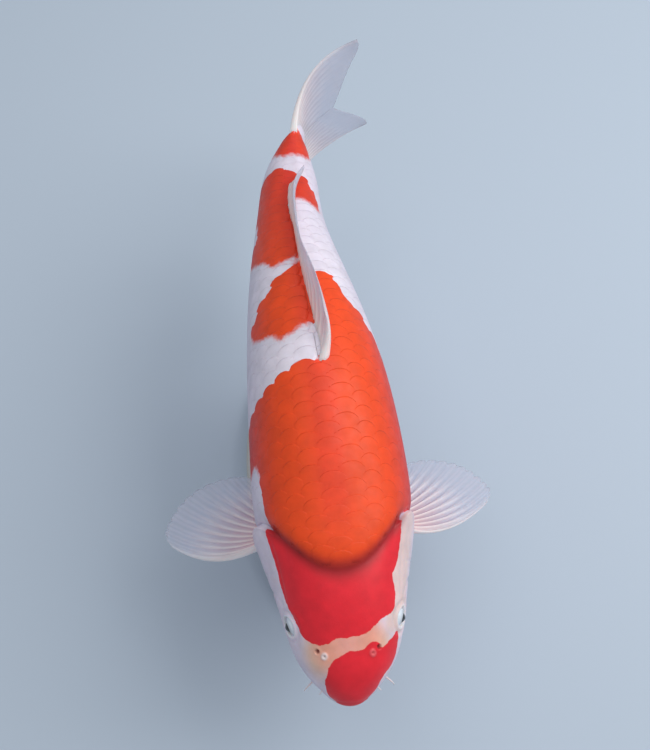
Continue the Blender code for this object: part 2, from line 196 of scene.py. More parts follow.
def body_normal(u, theta):
    step = 1e-4
    along = body_point(u + step, theta) - body_point(np.maximum(u - step, 0), theta)
    round_it = body_point(u, theta + step) - body_point(u, theta - step)
    normal = np.cross(round_it, along)
    return normal / np.linalg.norm(normal, axis=-1, keepdims=True)


def gill_border(theta):
    """Where the head ends: far forward at the nape and the throat, and furthest back at the sides."""
    middle = np.where(np.cos(theta) > 0, NAPE, THROAT)
    side = np.sin(theta) ** 2
    return middle + (GILL_EDGE - middle) * (side + 0.6 * side**2 * (1 - side))


def flat(u, theta):
    """The body's surface laid out flat, in metres: along the fish, and round it from the back."""
    half_width, back, belly = sizes(u)
    radius = (half_width + (back - belly) / 2) / 2
    return np.stack(np.broadcast_arrays(u * STANDARD_LENGTH, theta * radius * STANDARD_LENGTH), -1)


# Behind the nape the flesh swells over the end of the skull, and between them runs a groove. On the sides
# the gill cover ends in a free, rounded edge over a cleft. (millimetres behind the border, height in mm)
NAPE_PROFILE = (
    (-40, 0.0), (-22, -0.1), (-12, -0.4), (-6, -0.8), (-2, -1.2), (1, -1.3), (3.5, -0.8), (7, 0.2),
    (13, 1.1), (24, 1.0), (40, 0.3), (60, 0.0),
)
CLEFT_PROFILE = (
    (-60, 0.0), (-30, 0.7), (-12, 1.7), (-4, 2.3), (-1.6, 2.2), (-0.5, 1.4), (0.1, -0.6), (0.8, -2.3),
    (2.2, -2.3), (5, -1.1), (9, -0.3), (15, 0.0),
)
# How far the gill covers stand open, and where in degrees from the back
FLARE = {"left": 0.6, "right": 1.45}
FLARED = (50, 75, 110, 150)
SIDES_FROM = (44, 60)
THROAT_FROM = (150, 178)
THROAT_SHALLOWER = 0.6
# The low ridge along the back before the fin, its half width in degrees and its run in u
CREST_HEIGHT = 0.0012
CREST_WIDTH = 6
CREST_RUN = (0.24, 0.4, 0.48, 0.56)


def behind_border(u, theta):
    """Millimetres behind the gill border, negative on the head."""
    return (u - gill_border(theta)) * STANDARD_LENGTH * 1000


def form_height(u, theta):
    """How far the flesh's form stands off the plain body, in metres."""
    behind = behind_border(u, theta)
    degrees = np.degrees(np.abs(theta))
    side = ease(degrees, *SIDES_FROM)
    flare = np.where(theta > 0, FLARE["left"], FLARE["right"])
    flare = 1 + (flare - 1) * span(degrees, *FLARED)
    cleft = smooth(CLEFT_PROFILE, behind)[..., 0]
    cleft = np.where(cleft > 0, cleft * flare, cleft) * (1 - THROAT_SHALLOWER * ease(degrees, *THROAT_FROM))
    nape = smooth(NAPE_PROFILE, behind)[..., 0]
    crest = CREST_HEIGHT * hill(degrees, CREST_WIDTH) * span(u, *CREST_RUN)
    return (nape * (1 - side) + cleft * side) * 0.001 + crest


def form_point(u, theta, lift=0.0):
    """A place on the fish's flesh, lift metres above it."""
    height = form_height(u, theta) + lift
    return body_point(u, theta) + body_normal(u, theta) * height[..., None]


# The markings are red on white, in the skin itself. Each is an outline of a few places, (u, theta in
# degrees), joined by a smooth closed curve. Towards the tail its edge is sharp, and towards the head the
# white scales lie over it, so that it looks soft.

HEAD_MARKINGS = {
    "hood": (
        (0.300, -57), (0.250, -58), (0.205, -59), (0.160, -60), (0.142, -57), (0.124, -53), (0.104, -50),
        (0.092, -43), (0.083, -34), (0.081, -22), (0.087, -10), (0.088, 6), (0.094, 18), (0.104, 28),
        (0.114, 36), (0.120, 45), (0.133, 50), (0.155, 49), (0.174, 45), (0.188, 49), (0.210, 52),
        (0.250, 53), (0.300, 53), (0.260, 0),
    ),
    "nose": (
        (0.034, -44), (0.044, -30), (0.050, -26), (0.060, -14), (0.068, 0), (0.071, 14), (0.080, 22),
        (0.080, 32), (0.073, 39), (0.086, 51), (0.098, 60), (0.090, 66), (0.060, 75), (0.036, 68),
        (0.018, 80), (0.004, 95), (-0.004, 0), (0.004, -95), (0.014, -78), (0.024, -56),
    ),
}

BODY_MARKINGS = {
    "saddle": (
        (0.150, 0), (0.200, -44), (0.252, -54), (0.320, -57), (0.352, -60), (0.366, -68), (0.360, -82),
        (0.372, -97), (0.400, -105), (0.428, -99), (0.443, -82), (0.458, -63), (0.472, -46),
        (0.488, -27), (0.498, -8), (0.502, 4), (0.540, 8), (0.620, 7), (0.658, 8), (0.662, 20), (0.646, 33),
        (0.622, 36), (0.606, 43), (0.583, 53), (0.560, 63), (0.520, 80), (0.470, 96), (0.400, 107),
        (0.330, 110), (0.288, 100), (0.274, 72), (0.268, 60), (0.250, 52), (0.224, 44),
    ),
    "second": (
        (0.580, 6), (0.560, -8), (0.547, -24), (0.562, -34), (0.566, -46), (0.580, -59), (0.604, -60),
        (0.632, -46), (0.655, -31), (0.676, -17), (0.686, -6), (0.690, 7),
    ),
    "third": (
        (0.716, 6), (0.698, -10), (0.694, -26), (0.712, -40), (0.726, -60), (0.742, -84), (0.764, -80),
        (0.776, -62), (0.804, -60), (0.822, -80), (0.858, -95), (0.890, -88), (0.908, -62),
        (0.915, -25), (0.912, 4), (0.900, 12), (0.860, 6), (0.800, 6),
    ),
    "fourth": (
        (0.850, 2), (0.838, 28), (0.826, 52), (0.846, 52), (0.882, 42), (0.900, 27), (0.904, 10),
    ),
    "stalk": (
        (0.946, 0), (0.942, -16), (0.951, -46), (0.955, -75), (0.972, -82), (0.996, -52), (1.014, -30),
        (1.012, -12), (0.996, 0), (1.004, 13), (1.007, 28), (0.996, 60), (0.972, 68), (0.952, 48),
        (0.948, 20),
    ),
}


# Past this many millimetres from an edge its distance no longer counts
MARKING_REACH = 20


def smooth_outline(corners, steps=6):
    """A closed curve through the corners, as flat points."""
    points = flat(*np.array([(u, math.radians(degrees)) for u, degrees in corners]).T)
    before, after, further = (np.roll(points, turn, axis=0) for turn in (1, -1, -2))
    share = np.linspace(0, 1, steps, endpoint=False)[None, :, None]
    a, b, c, d = (corner[:, None] for corner in (before, points, after, further))
    bend = 2 * b + (c - a) * share + (2 * a - 5 * b + 4 * c - d) * share**2
    bend += (3 * b - 3 * c + d - a) * share**3
    return bend.reshape(-1, 2) / 2


def depth_inside(points, outline):
    """How far flat points lie inside a closed outline, in metres, negative outside it."""
    nearest = np.full(points.shape[:-1], np.inf)
    inside = np.zeros(points.shape[:-1], bool)
    for start, end in zip(outline, np.roll(outline, -1, axis=0)):
        edge = end - start
        share = np.clip(((points - start) @ edge) / (edge @ edge), 0, 1)
        away = np.linalg.norm(points - start - share[..., None] * edge, axis=-1)
        nearest = np.minimum(nearest, away)
        level = points[..., 1]
        crosses = (start[1] > level) != (end[1] > level)
        crossing = start[0] + (level - start[1]) / (edge[1] if edge[1] else 1e-9) * edge[0]
        inside ^= crosses & (points[..., 0] < crossing)
    return np.where(inside, nearest, -nearest)


def marking_depth(u, theta, markings):
    """Millimetres inside the nearest of these markings, negative outside them all."""
    points = flat(u, theta)
    depths = [depth_inside(points, smooth_outline(corners)) for corners in markings.values()]
    return np.clip(np.max(depths, axis=0) * 1000, -MARKING_REACH, MARKING_REACH)


# The skin: one soft, slimy hide from the lips to the root of the tail. It is bare on the head, where it
# shows the lips, nostrils, eye rims and gill covers, and behind the head it lies under the scales.

# Behind the gill border the skin drops by this depth, over this run in mm, to make room for the scales
COAT_DEPTH = 0.0008
COAT_RUN = (2.5, 9.0)
EYE_RADIUS = 0.0086
EYE_STANDS_OUT = 0.0022
EYE_PLACE = (0.119, math.radians(65))
# The lid, and the folds round it: (mm from the eye's axis, width, height). Above, the lid is higher and
# reaches further in over the eye. Inside the socket's edge the skin drops away behind the eye. A pale tint
# covers the lid and fades between two distances from the axis.
LID = (8.4, 1.4, 1.0)
EYE_FOLDS = ((11.6, 1.1, -0.35), (14.5, 2.6, 0.5))
UPPER_LID_HIGHER = 0.2
UPPER_LID_REACH = 1.9
SOCKET_EDGE = (7.2, 6.0)
SOCKET_DEPTH = 7.0
LID_PALE = 0.6
LID_FADES = (9.6, 8.0)

MOUTH_HALF = 0.041
MOUTH_MIDDLE = -0.0275
MOUTH_FALL = 0.009
MOUTH_END = (0.020, 0.036)
# Folds of the mouth: (millimetres above the slit, width, height)
LIPS = ((0.0, 0.7, -3.0), (2.9, 2.2, 0.2), (7.2, 2.4, -0.25), (-2.9, 2.0, 0.9), (-6.6, 1.4, -0.8))
LIPS_NARROW = 0.35
JAW_SITS_BACK = 1.8

# Nostrils: (u, theta in degrees, radius, depth, how much painted shade lies in the pit). A pale flap rings
# the front one on each side.
NOSTRILS = {"front": (0.0655, 27.0, 0.8, 0.6, 0.3), "rear": (0.0735, 34.5, 1.4, 2.3, 0.95)}
NOSTRIL_RIM = 0.3
FLAP_RING = (1.8, 0.8, 0.6)
FLAP_PALE = {1: 0.1, -1: 0.6}

# The gill cover's bulge: (u, theta in degrees, radius, height)
GILL_BULGE = (0.236, 96, 17, 0.9)
# Ribs of the tail's rays under the last of the flesh: share of the length from one to the next, height in mm.
# They grow, and the room for the scales ends, over these distances in u before the flesh's end.
TAIL_RIBS = (0.0055, 0.06)
RIBS_GROW = (0.034, 0.012)
COAT_ENDS = (0.028, 0.043)

# Creases of the head: (depth in mm, width in mm, places (u, theta in degrees))
CREASES = {
    "over the gill cover": (0.5, 1.3, ((0.145, 60), (0.175, 57), (0.215, 56), (0.262, 56))),
    "cheek plate": (0.7, 1.5, (
        (0.150, 66), (0.176, 78), (0.190, 98), (0.180, 120), (0.146, 140), (0.105, 150),
    )),
    "gill plate": (0.35, 1.2, ((0.200, 66), (0.212, 90), (0.212, 112), (0.230, 128), (0.262, 130))),
    "under the eye": (0.35, 1.4, ((0.090, 80), (0.112, 90), (0.138, 88), (0.152, 76))),
    "behind the lips": (0.9, 1.2, ((0.026, 104), (0.034, 112), (0.040, 122))),
    "jaw": (0.6, 1.5, ((0.034, 116), (0.058, 132), (0.088, 152))),
    "gill rays": (0.5, 1.2, ((0.130, 166), (0.180, 152), (0.230, 138), (0.262, 124))),
    "lower gill rays": (0.4, 1.1, ((0.150, 172), (0.195, 160), (0.235, 148))),
}


def eye_axis(side):
    u, theta = EYE_PLACE
    return body_normal(u, side * theta)


def eye_centre(side):
    u, theta = EYE_PLACE
    return body_point(u, side * theta) - eye_axis(side) * (EYE_RADIUS - EYE_STANDS_OUT)


def away_from(points, u, degrees):
    """Distance of flat points from one place, in mm."""
    return np.linalg.norm(points - flat(np.array(u), np.array(math.radians(degrees))), axis=-1) * 1000


def away_from_path(points, path):
    """Distance of flat points from an open line of places."""
    line = flat(*np.array([(u, math.radians(degrees)) for u, degrees in path]).T)
    nearest = np.full(points.shape[:-1], np.inf)
    for start, end in zip(line, line[1:]):
        edge = end - start
        share = np.clip(((points - start) @ edge) / (edge @ edge), 0, 1)
        nearest = np.minimum(nearest, np.linalg.norm(points - start - share[..., None] * edge, axis=-1))
    return nearest


def away_from_eye(points):
    """Distance from the nearer eye's axis, in mm, and how far up round the eye, from -1 to 1."""
    best = np.full(points.shape[:-1], 1e3)
    upward = np.zeros(points.shape[:-1])
    for side in (1, -1):
        offset = points - eye_centre(side)
        axis = eye_axis(side)
        reach = offset @ axis
        radial = offset - reach[..., None] * axis
        distance = np.linalg.norm(radial, axis=-1) * 1000
        near = (reach > -0.02) & (distance < best)
        best = np.where(near, distance, best)
        upward = np.where(near, radial[..., 2] * 1000 / np.maximum(distance, 1e-6), upward)
    return best, upward


def nostril_hollow(points, theta):
    """The nostrils' relief in mm, and 0 to 1 for the painted shade in a nostril's pit and how pale its flap
    is.
    """
    height = np.zeros(theta.shape)
    pit_shade = np.zeros(theta.shape)
    pale = np.zeros(theta.shape)
    ring_radius, ring_width, ring_height = FLAP_RING
    for side in (1, -1):
        for word, (u, degrees, radius, depth, darkness) in NOSTRILS.items():
            away = away_from(points, u, side * degrees)
            hollow = np.exp(-((away / radius) ** 4))
            height += NOSTRIL_RIM * hill(away - radius * 1.6, radius * 0.5) - depth * hollow
            pit_shade = np.maximum(pit_shade, darkness * hollow)
            if word == "front":
                height += ring_height * hill(away - ring_radius, ring_width)
                pale = np.maximum(pale, FLAP_PALE[side] * ease(away, ring_radius + 1.4, ring_radius - 0.2))
    return height, pit_shade, pale


def above_mouth(u, theta):
    """Millimetres above the slit of the mouth, and how far along it from the middle (0) to the corner (1)."""
    across, height = section(u, theta)
    along = np.abs(across) / MOUTH_HALF
    return (height - MOUTH_MIDDLE + MOUTH_FALL * along**2) * STANDARD_LENGTH * 1000, along


def mouth_height(u, theta):
    """Height of the lips, the slit between them and the folds round them, in mm. The lower jaw sits back."""
    above, along = above_mouth(u, theta)
    narrow = 1 - LIPS_NARROW * np.minimum(along, 1) ** 2
    relief = sum(rise * hill(above - middle * narrow, width * narrow) for middle, width, rise in LIPS)
    relief -= JAW_SITS_BACK * ease(above, 0.4, -1.6) * ease(above, -18, -6)
    return relief * ease(u, MOUTH_END[1], MOUTH_END[0]) * ease(along, 1.25, 0.95)


def skin_relief(u, theta, points):
    """The bare skin's detail in metres, and 0 to 1 for the painted shade in the nostrils' pits and for pale
    rims.
    """
    mirrored = flat(u, np.abs(theta))
    hollow, pit_shade, pale = nostril_hollow(flat(u, theta), theta)
    height = mouth_height(u, theta) + hollow
    for depth, width, path in CREASES.values():
        height -= depth * hill(away_from_path(mirrored, path) * 1000, width)
    height += GILL_BULGE[3] * hill(away_from(mirrored, *GILL_BULGE[:2]), GILL_BULGE[2])
    eye, upward = away_from_eye(points)
    eye = eye + UPPER_LID_REACH * ease(upward, -0.1, 0.9)
    height += (1 + UPPER_LID_HIGHER * ease(upward, -0.2, 0.9)) * LID[2] * hill(eye - LID[0], LID[1])
    for away, width, rise in EYE_FOLDS:
        height += rise * hill(eye - away, width)
    height -= SOCKET_DEPTH * ease(eye, *SOCKET_EDGE)
    before_end = flesh_end(theta) - u
    spacing, rise = TAIL_RIBS
    ribs = rise * np.cos(2 * math.pi * section(u, theta)[1] / spacing)
    height += ribs * ease(before_end, *RIBS_GROW)
    inset = ease(behind_border(u, theta), *COAT_RUN) * ease(before_end, *COAT_ENDS) * COAT_DEPTH
    return height * 0.001 - inset, pit_shade, np.maximum(pale, LID_PALE * ease(eye, *LID_FADES))


def spread_rows(positions, spacing):
    """Shares from 0 to 1, closest where spacing, in metres at each position, is small."""
    middle = (spacing[1:] + spacing[:-1]) / 2
    count = np.concatenate([[0], np.cumsum(np.diff(positions) / middle)])
    rows = int(round(count[-1]))
    return np.interp(np.linspace(0, count[-1], rows + 1), count, positions)


AROUND = 280
# Metres between the skin's rows: on the lips, how much wider over the head, at the gill border, how much
# wider down the body, and how much finer again at the tail
LIP_ROWS = 0.00045
HEAD_ROWS_WIDER = 0.0004
BORDER_ROWS = 0.0005
BODY_ROWS_WIDER = 0.0032
TAIL_ROWS_FINER = 0.0015


def head_rows():
    """Shares of the way from the snout to the gill border, even along the curve of the snout."""
    share = np.linspace(0, 1, 2001) ** 2
    line = body_point(GILL_EDGE * share, np.radians(60.0) + 0 * share)
    run = np.concatenate([[0], np.cumsum(np.linalg.norm(np.diff(line, axis=0), axis=1))])
    left = run[-1] - run
    spacing = LIP_ROWS + HEAD_ROWS_WIDER * (ease(run, 0.012, 0.03) - ease(left, 0.010, 0.004))
    return np.interp(spread_rows(run, spacing), run, share)[1:]


def body_rows():
    """Shares of the way from the gill border to the end of the flesh."""
    length = (FLESH_END - GILL_EDGE) * STANDARD_LENGTH
    run = np.linspace(0, length, 2001)
    spacing = (BORDER_ROWS + BODY_ROWS_WIDER * ease(run, 0.006, 0.05)
               - TAIL_ROWS_FINER * ease(run, length - 0.05, length))
    return spread_rows(run, spacing)[1:] / length


def skin_grid():
    theta = np.linspace(-math.pi, math.pi, AROUND, endpoint=False)
    border = gill_border(theta)
    head = border * head_rows()[:, None]
    body = border + (flesh_end(theta) - border) * body_rows()[:, None]
    u = np.concatenate([head, body])
    return u, np.broadcast_to(theta, u.shape)


# The map: how much of its width the skin takes, and how much of its length goes to opening up the snout
MAP_SHARE = 0.96
MAP_FOR_SNOUT = 0.12


def map_place(u, theta):
    """Where a place on the fish lies on its unwrapped skin, which is opened along the belly."""
    run = u / (FLESH_END + 0.01)
    along = MAP_FOR_SNOUT * np.sqrt(run) + (1 - MAP_FOR_SNOUT) * run
    return np.stack([0.5 + MAP_SHARE * theta / 2 / math.pi, 0.02 + MAP_SHARE * along], -1)


def closed_rings(rings):
    """Faces of a closed surface through rings, with a pole point before the first and after the last. They
    look outwards where the rings turn anticlockwise, seen from the first pole."""
    count, around = rings.shape[:2]
    index = np.arange(count * around).reshape(count, around)
    following = np.roll(index, -1, axis=1)
    first, last = count * around, count * around + 1
    faces = np.stack([index[:-1], index[1:], following[1:], following[:-1]], -1).reshape(-1, 4).tolist()
    faces += [(first, int(a), int(b)) for a, b in zip(index[0], following[0])]
    faces += [(last, int(b), int(a)) for a, b in zip(index[-1], following[-1])]
    return faces


def mesh_object(name, points, faces, material, uv=None, wraps=False):
    """A smooth-shaded object from an array of points and an array or list of faces. Its map wraps where the
    last column of places joins the first."""
    mesh = bpy.data.meshes.new(name)
    mesh.from_pydata(points.tolist(), [], faces if isinstance(faces, list) else faces.tolist())
    mesh.shade_smooth()
    mesh.materials.append(material)
    if uv is not None:
        corners = np.empty(len(mesh.loops), np.int32)
        mesh.loops.foreach_get("vertex_index", corners)
        at_corners = uv[corners]
        if wraps:
            face_of = np.repeat(np.arange(len(mesh.polygons)), [len(face) for face in faces])
            furthest = np.zeros(len(mesh.polygons))
            np.maximum.at(furthest, face_of, at_corners[:, 0])
            at_corners[:, 0] += MAP_SHARE * (at_corners[:, 0] < furthest[face_of] - 0.55)
        layer = mesh.uv_layers.new(name="OFBake")
        layer.data.foreach_set("uv", at_corners.astype(np.float32).ravel())
    obj = bpy.data.objects.new(name, mesh)
    bpy.context.scene.collection.objects.link(obj)
    return obj


def give(obj, **values):
    """Stores one number for each point under each name, for the material to read."""
    for name, value in values.items():
        attribute = obj.data.attributes.new(name, "FLOAT", "POINT")
        attribute.data.foreach_set("value", np.ascontiguousarray(value, np.float32).ravel())


def fill(node, values):
    """Sets a node's inputs: another node's output is linked, and a plain value is set."""
    for key, value in dict(values).items():
        if isinstance(value, bpy.types.NodeSocket):
            node.id_data.links.new(value, node.inputs[key])
        else:
            node.inputs[key].default_value = value


def new_material(name):
    """A material, a function that adds a node to it with its inputs and settings, and its surface shader."""
    material = bpy.data.materials.new(name)
    material.use_nodes = True

    def add(kind, values=(), **settings):
        node = material.node_tree.nodes.new(kind)
        for key, value in settings.items():
            setattr(node, key, value)
        fill(node, values)
        return node

    return material, add, material.node_tree.nodes["Principled BSDF"]


def paint(red, green, blue):
    """A colour from its screen values, 0 to 255."""
    values = np.array((red, green, blue)) / 255
    linear = np.where(values > 0.04045, ((values + 0.055) / 1.055) ** 2.4, values / 12.92)
    return (*linear.tolist(), 1.0)


# The back's red and white are the lit colours. The sides take the same red and white in painted shade, darker
# and bluer.
BACK_RED = paint(250, 74, 16)
SHADED_SIDE_RED = paint(206, 34, 46)
HEAD_RED = paint(230, 32, 48)
RIDGE_HIGHLIGHT_RED = paint(250, 58, 44)
BACK_WHITE = paint(242, 230, 242)
SHADED_SIDE_WHITE = paint(220, 206, 224)
NOSTRIL_CREAM = paint(232, 190, 158)
BROW_PEACH = paint(240, 160, 138)
EYE_RING_WHITE = paint(240, 247, 254)
# Painted shade in the nostrils' pits
NOSTRIL_PAINTED_SHADE = paint(132, 44, 44)
# Painted shade for the groove behind the nape
GROOVE_PAINTED_SHADE = paint(150, 92, 118)


def stored(add, name):
    return add("ShaderNodeAttribute", attribute_name=name).outputs["Fac"]


def mixed(add, factor, first, second, way="MIX"):
    values = {0: factor, 6: first, 7: second}
    return add("ShaderNodeMix", values, data_type="RGBA", blend_type=way).outputs[2]


def shaded(add, colour, shade):
    """A colour times another colour, or times one number."""
    return mixed(add, 1.0, colour, shade, "MULTIPLY")


def sums(add, way, first, second, third=0.0):
    return add("ShaderNodeMath", {0: first, 1: second, 2: third}, operation=way).outputs[0]


def ranged(add, value, low, high, at_low=0.0, at_high=1.0, way="LINEAR"):
    """Turns the range from low to high into the range from at_low to at_high."""
    values = {0: value, 1: low, 2: high, 3: at_low, 4: at_high}
    return add("ShaderNodeMapRange", values, interpolation_type=way).outputs[0]


def noise(add, per_metre, detail=2.0):
    where = add("ShaderNodeTexCoord").outputs["Object"]
    return add("ShaderNodeTexNoise", {"Vector": where, "Scale": per_metre, "Detail": detail}).outputs["Fac"]


def bumped(add, surface, height, distance, strength):
    values = {"Height": height, "Distance": distance, "Strength": strength}
    fill(surface, {"Normal": add("ShaderNodeBump", values).outputs[0]})


def koi_colour(add):
    """The fish's colours: red markings on white, from what give() stored on the piece."""
    # Painted shade: down the sides the red and the white turn darker and bluer
    side_shade = stored(add, "side_shade")
    white = mixed(add, side_shade, BACK_WHITE, SHADED_SIDE_WHITE)
    white = mixed(add, stored(add, "cream"), white, NOSTRIL_CREAM)
    white = mixed(add, stored(add, "peach"), white, BROW_PEACH)
    # A painted highlight, a pinker red, runs along the crest of the back
    red = mixed(add, side_shade, mixed(add, stored(add, "ridge_highlight"), BACK_RED, RIDGE_HIGHLIGHT_RED), SHADED_SIDE_RED)
    red = mixed(add, stored(add, "head"), red, HEAD_RED)
    # The edge wanders a little everywhere, and more where it is soft
    wander = sums(add, "MULTIPLY_ADD", noise(add, 330.0, 3.0), 2.0, -1.0)
    ragged = sums(add, "MULTIPLY_ADD", noise(add, 170.0, 3.0), 3.2, -1.6)
    softness = stored(add, "softness")
    depth = sums(add, "MULTIPLY_ADD", wander, softness, sums(add, "ADD", ragged, stored(add, "marking")))
    inside = ranged(add, sums(add, "DIVIDE", depth, softness), -1.0, 1.0, way="SMOOTHSTEP")
    colour = mixed(add, inside, white, red)
    colour = mixed(add, stored(add, "ring"), colour, EYE_RING_WHITE)
    # Painted shade in the groove behind the nape
    groove_shade = sums(add, "MULTIPLY", stored(add, "groove_shade"), 0.75)
    colour = mixed(add, groove_shade, colour, shaded(add, colour, GROOVE_PAINTED_SHADE))
    # Painted shade in the nostrils' pits
    colour = mixed(add, stored(add, "hollow"), colour, NOSTRIL_PAINTED_SHADE)
    return shaded(add, colour, ranged(add, noise(add, 90.0, 4.0), 0.3, 0.7, 0.90, 1.06))


def wet_finish(add, surface, colour, bumps_per_metre, bump_height, smoothest=0.40, roughest=0.54, slime=0.10):
    """A slimy, slightly see-through finish over a colour."""
    bumped(add, surface, noise(add, bumps_per_metre, 4.0), bump_height, 0.6)
    fill(surface, {
        "Base Color": colour,
        "Roughness": ranged(add, noise(add, 160.0), 0.3, 0.7, smoothest, roughest),
        "Subsurface Weight": 0.12,
        "Subsurface Radius": (1.0, 0.35, 0.2),
        "Subsurface Scale": 0.003,
        "Specular IOR Level": 0.38,
        "Coat Weight": slime,
        "Coat Roughness": 0.28,
    })


skin_hide, add, surface = new_material("wet skin")
wet_finish(add, surface, koi_colour(add), 900.0, 0.00015)

u, theta = skin_grid()
relief, hollow, ring = skin_relief(u, theta, body_point(u, theta))
rings = form_point(u, theta, relief)
snout, last = rings[0].mean(axis=0), place(FLESH_END - 0.001, FLESH_SWEEP, 0.0)
uv = np.concatenate([map_place(u, theta).reshape(-1, 2), [(0.5, 0.01), (0.5, 0.998)]])
points = np.concatenate([rings.reshape(-1, 3), [snout, last]])
# These rings turn clockwise, seen from the snout, so their faces are turned to look outwards
faces = [face[::-1] for face in closed_rings(rings)]
skin = mesh_object("skin", points, faces, skin_hide, uv, True)


# Tints of the head's white: (strength, (u, theta in degrees) of its middle, mm where it begins and is full)
CREAM_TINT = (0.8, (0.070, 33), (22, 5))
PEACH_TINT = (0.85, (0.086, 0), (32, 14))
# The left cheek is creamier: its strength, and where it begins and is full from above, from below and in u
CHEEK_TINT = (0.45, (34, 44), (86, 66), (0.082, 0.105))


def with_ends(values, first, final):
    return np.concatenate([np.ravel(values), [first, final]])


def colour_facts(u, theta):
    """What the material needs to know at each place, on the skin and on the scales alike."""
    behind = behind_border(u, theta)
    on_head = behind < 0.5
    degrees = np.degrees(np.abs(theta))
    head_depth = marking_depth(u, theta, HEAD_MARKINGS)
    body_depth = marking_depth(u, theta, BODY_MARKINGS)
    cream, nostril, cream_range = CREAM_TINT
    peach, brow, peach_range = PEACH_TINT
    cheek, from_above, from_below, backwards = CHEEK_TINT
    near_nostril = ease(away_from(flat(u, np.abs(theta)), *nostril), *cream_range)
    near_brow = ease(away_from(flat(u, theta), *brow), *peach_range)
    left_cheek = ease(np.degrees(theta), *from_above) * ease(degrees, *from_below) * ease(u, *backwards)
    # Painted shade on the sides, in a band just behind the gill border and towards the tail stalk, fading at
    # the flesh's end
    side_shade = [ease(degrees, 30, 92), 0.75 * ease(behind, 12, 0), 0.45 * ease(u, 0.6, 0.9)]
    return {
        "marking": np.where(on_head, np.minimum(head_depth, above_mouth(u, theta)[0]), body_depth),
        "head": ease(behind, 3, -1),
        "side_shade": np.maximum.reduce(side_shade) * (1 - 0.8 * ease(flesh_end(theta) - u, 0.045, 0.012)),
        "cream": np.maximum(cream * near_nostril, cheek * left_cheek) * on_head,
        "peach": peach * near_brow * on_head,
        # painted highlight along the crest of the back
        "ridge_highlight": 0.4 * hill(degrees - 2, 8) * ease(u, 0.2, 0.3),
        # painted shade in the groove along the gill border over the back, fading on the sides
        "groove_shade": hill(behind - 1.0, 6.0) * ease(degrees, 66, 50),
    }


facts = colour_facts(u, theta)
give(
    skin,
    softness=with_ends(np.where(facts["head"] > 0.5, 0.35, 1.5), 0.35, 0.4),
    ring=with_ends(ring, 0, 0),
    hollow=with_ends(hollow, 0, 0),
    **{name: with_ends(value, value[0, 0], value[-1, 0]) for name, value in facts.items()},
)
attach(skin, "root")
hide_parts("head", "lower_jaw", "gill_cover_left", "gill_cover_right", "trunk_front", "trunk_rear",
            "tail_stalk")

# The scales: large, thin, round-edged plates that grow from pockets in the skin, in slanting rows, each over
# the one behind it. They are largest on the shoulders and smallest behind the head and on the tail stalk.

LATERAL_LINE = 92.0
# Millimetres from one scale to the next in a row: (u, length)
SCALE_LENGTH = ((0.17, 8.0), (0.24, 10.0), (0.31, 11.4), (0.42, 11.0), (0.60, 9.6), (0.80, 8.4), (1.0, 7.0))
# Degrees from one row to the next: (u, above the lateral line, below it)
ROW_STEP = ((0.0, 13.143, 12.571), (0.485, 13.143, 12.571), (0.84, 23.0, 22.0), (1.0, 23.0, 22.0))
# Rows on each side of the lateral line. A row runs out this share of a step before the back or the belly.
ROWS = 7
ROW_ENDS = 0.28
SCALES_FROM = 0.17
SCALES_TO = 1.02
BARE_FLESH = 0.034
BEHIND_GILLS = 3.5
# A scale's length ahead of its middle and behind it, as shares of the length from one to the next, its half
# width as a share of a step between rows, and how round its rear edge is and how narrow its front
PLATE_FRONT = 1.15
PLATE_REAR = 0.55
PLATE_HALF = 0.74
PLATE_ROUND = (1.12, 2.4)
PLATE_NARROW = 0.80
PLATE_ACROSS = np.linspace(-1, 1, 9)
PLATE_ALONG = np.array([0, 0.3, 0.55, 0.74, 0.87, 0.95, 1.0])
PLATE_THICKNESS = 0.00009
# No plate starts less than this behind the gill border, in u
PLATES_CLEAR = 0.0022
# Millimetres: how high the rear edge stands, how far a plate sinks over one length towards its front, how far
# its sides and its rim curl down, and how high the lateral line's tube stands on its own row
REAR_STANDS = 0.02
SCALE_STEP = 0.08
SIDE_CURL = 0.13
RIM_CURL = 0.02
LINE_TUBE = 0.12
MAP_PATCH = 0.003
# Places without scales at the paired fins' roots: (radius in mm, (u, theta in degrees) at front and rear)
BARE_ROOTS = {
    "pectoral": (9.0, ((0.288, 118), (0.322, 138))),
    "pelvic": (6.0, ((0.492, 152), (0.512, 164))),
}


def row_step(row, u):
    """Degrees from one row to the next. Rows count from the lateral line, upwards positive."""
    run, above, below = np.array(ROW_STEP).T
    return np.where(row > 0, np.interp(u, run, above), np.interp(u, run, below))


def row_angle(row, u):
    """Degrees from the back to a row."""
    return LATERAL_LINE - row * row_step(row, u)


def scale_places():
    """Every scale: its side (1 or -1), its row and its u."""
    along = np.linspace(SCALES_FROM, SCALES_TO, 4001)
    length = smooth(SCALE_LENGTH, along)[:, 0] / 1000
    count = np.concatenate([[0], np.cumsum(np.diff(along) * STANDARD_LENGTH / length[1:])])
    found = []
    for row in range(-ROWS, ROWS + 1):
        start = 0.5 if row % 2 else 0.0
        u = np.interp(np.arange(start, count[-1], 1.0), count, along)
        angle = row_angle(row, u)
        end = ROW_ENDS * row_step(row, u)
        middle_row = (np.abs(angle) < 0.5) | (np.abs(angle - 180) < 0.5)
        keep = middle_row | ((angle > end) & (angle < 180 - end))
        for side in (1, -1):
            wanted = keep & ~(middle_row & (side < 0))
            found += [(side, row, place_u) for place_u in u[wanted]]
    side, row, u = np.array(found).T
    theta = side * np.radians(row_angle(row, u))
    clear = (behind_border(u, theta) > BEHIND_GILLS) & (u < flesh_end(theta) - BARE_FLESH)
    for reach, path in BARE_ROOTS.values():
        clear &= away_from_path(flat(u, np.abs(theta)), path) * 1000 > reach
    return side[clear], row[clear], u[clear]


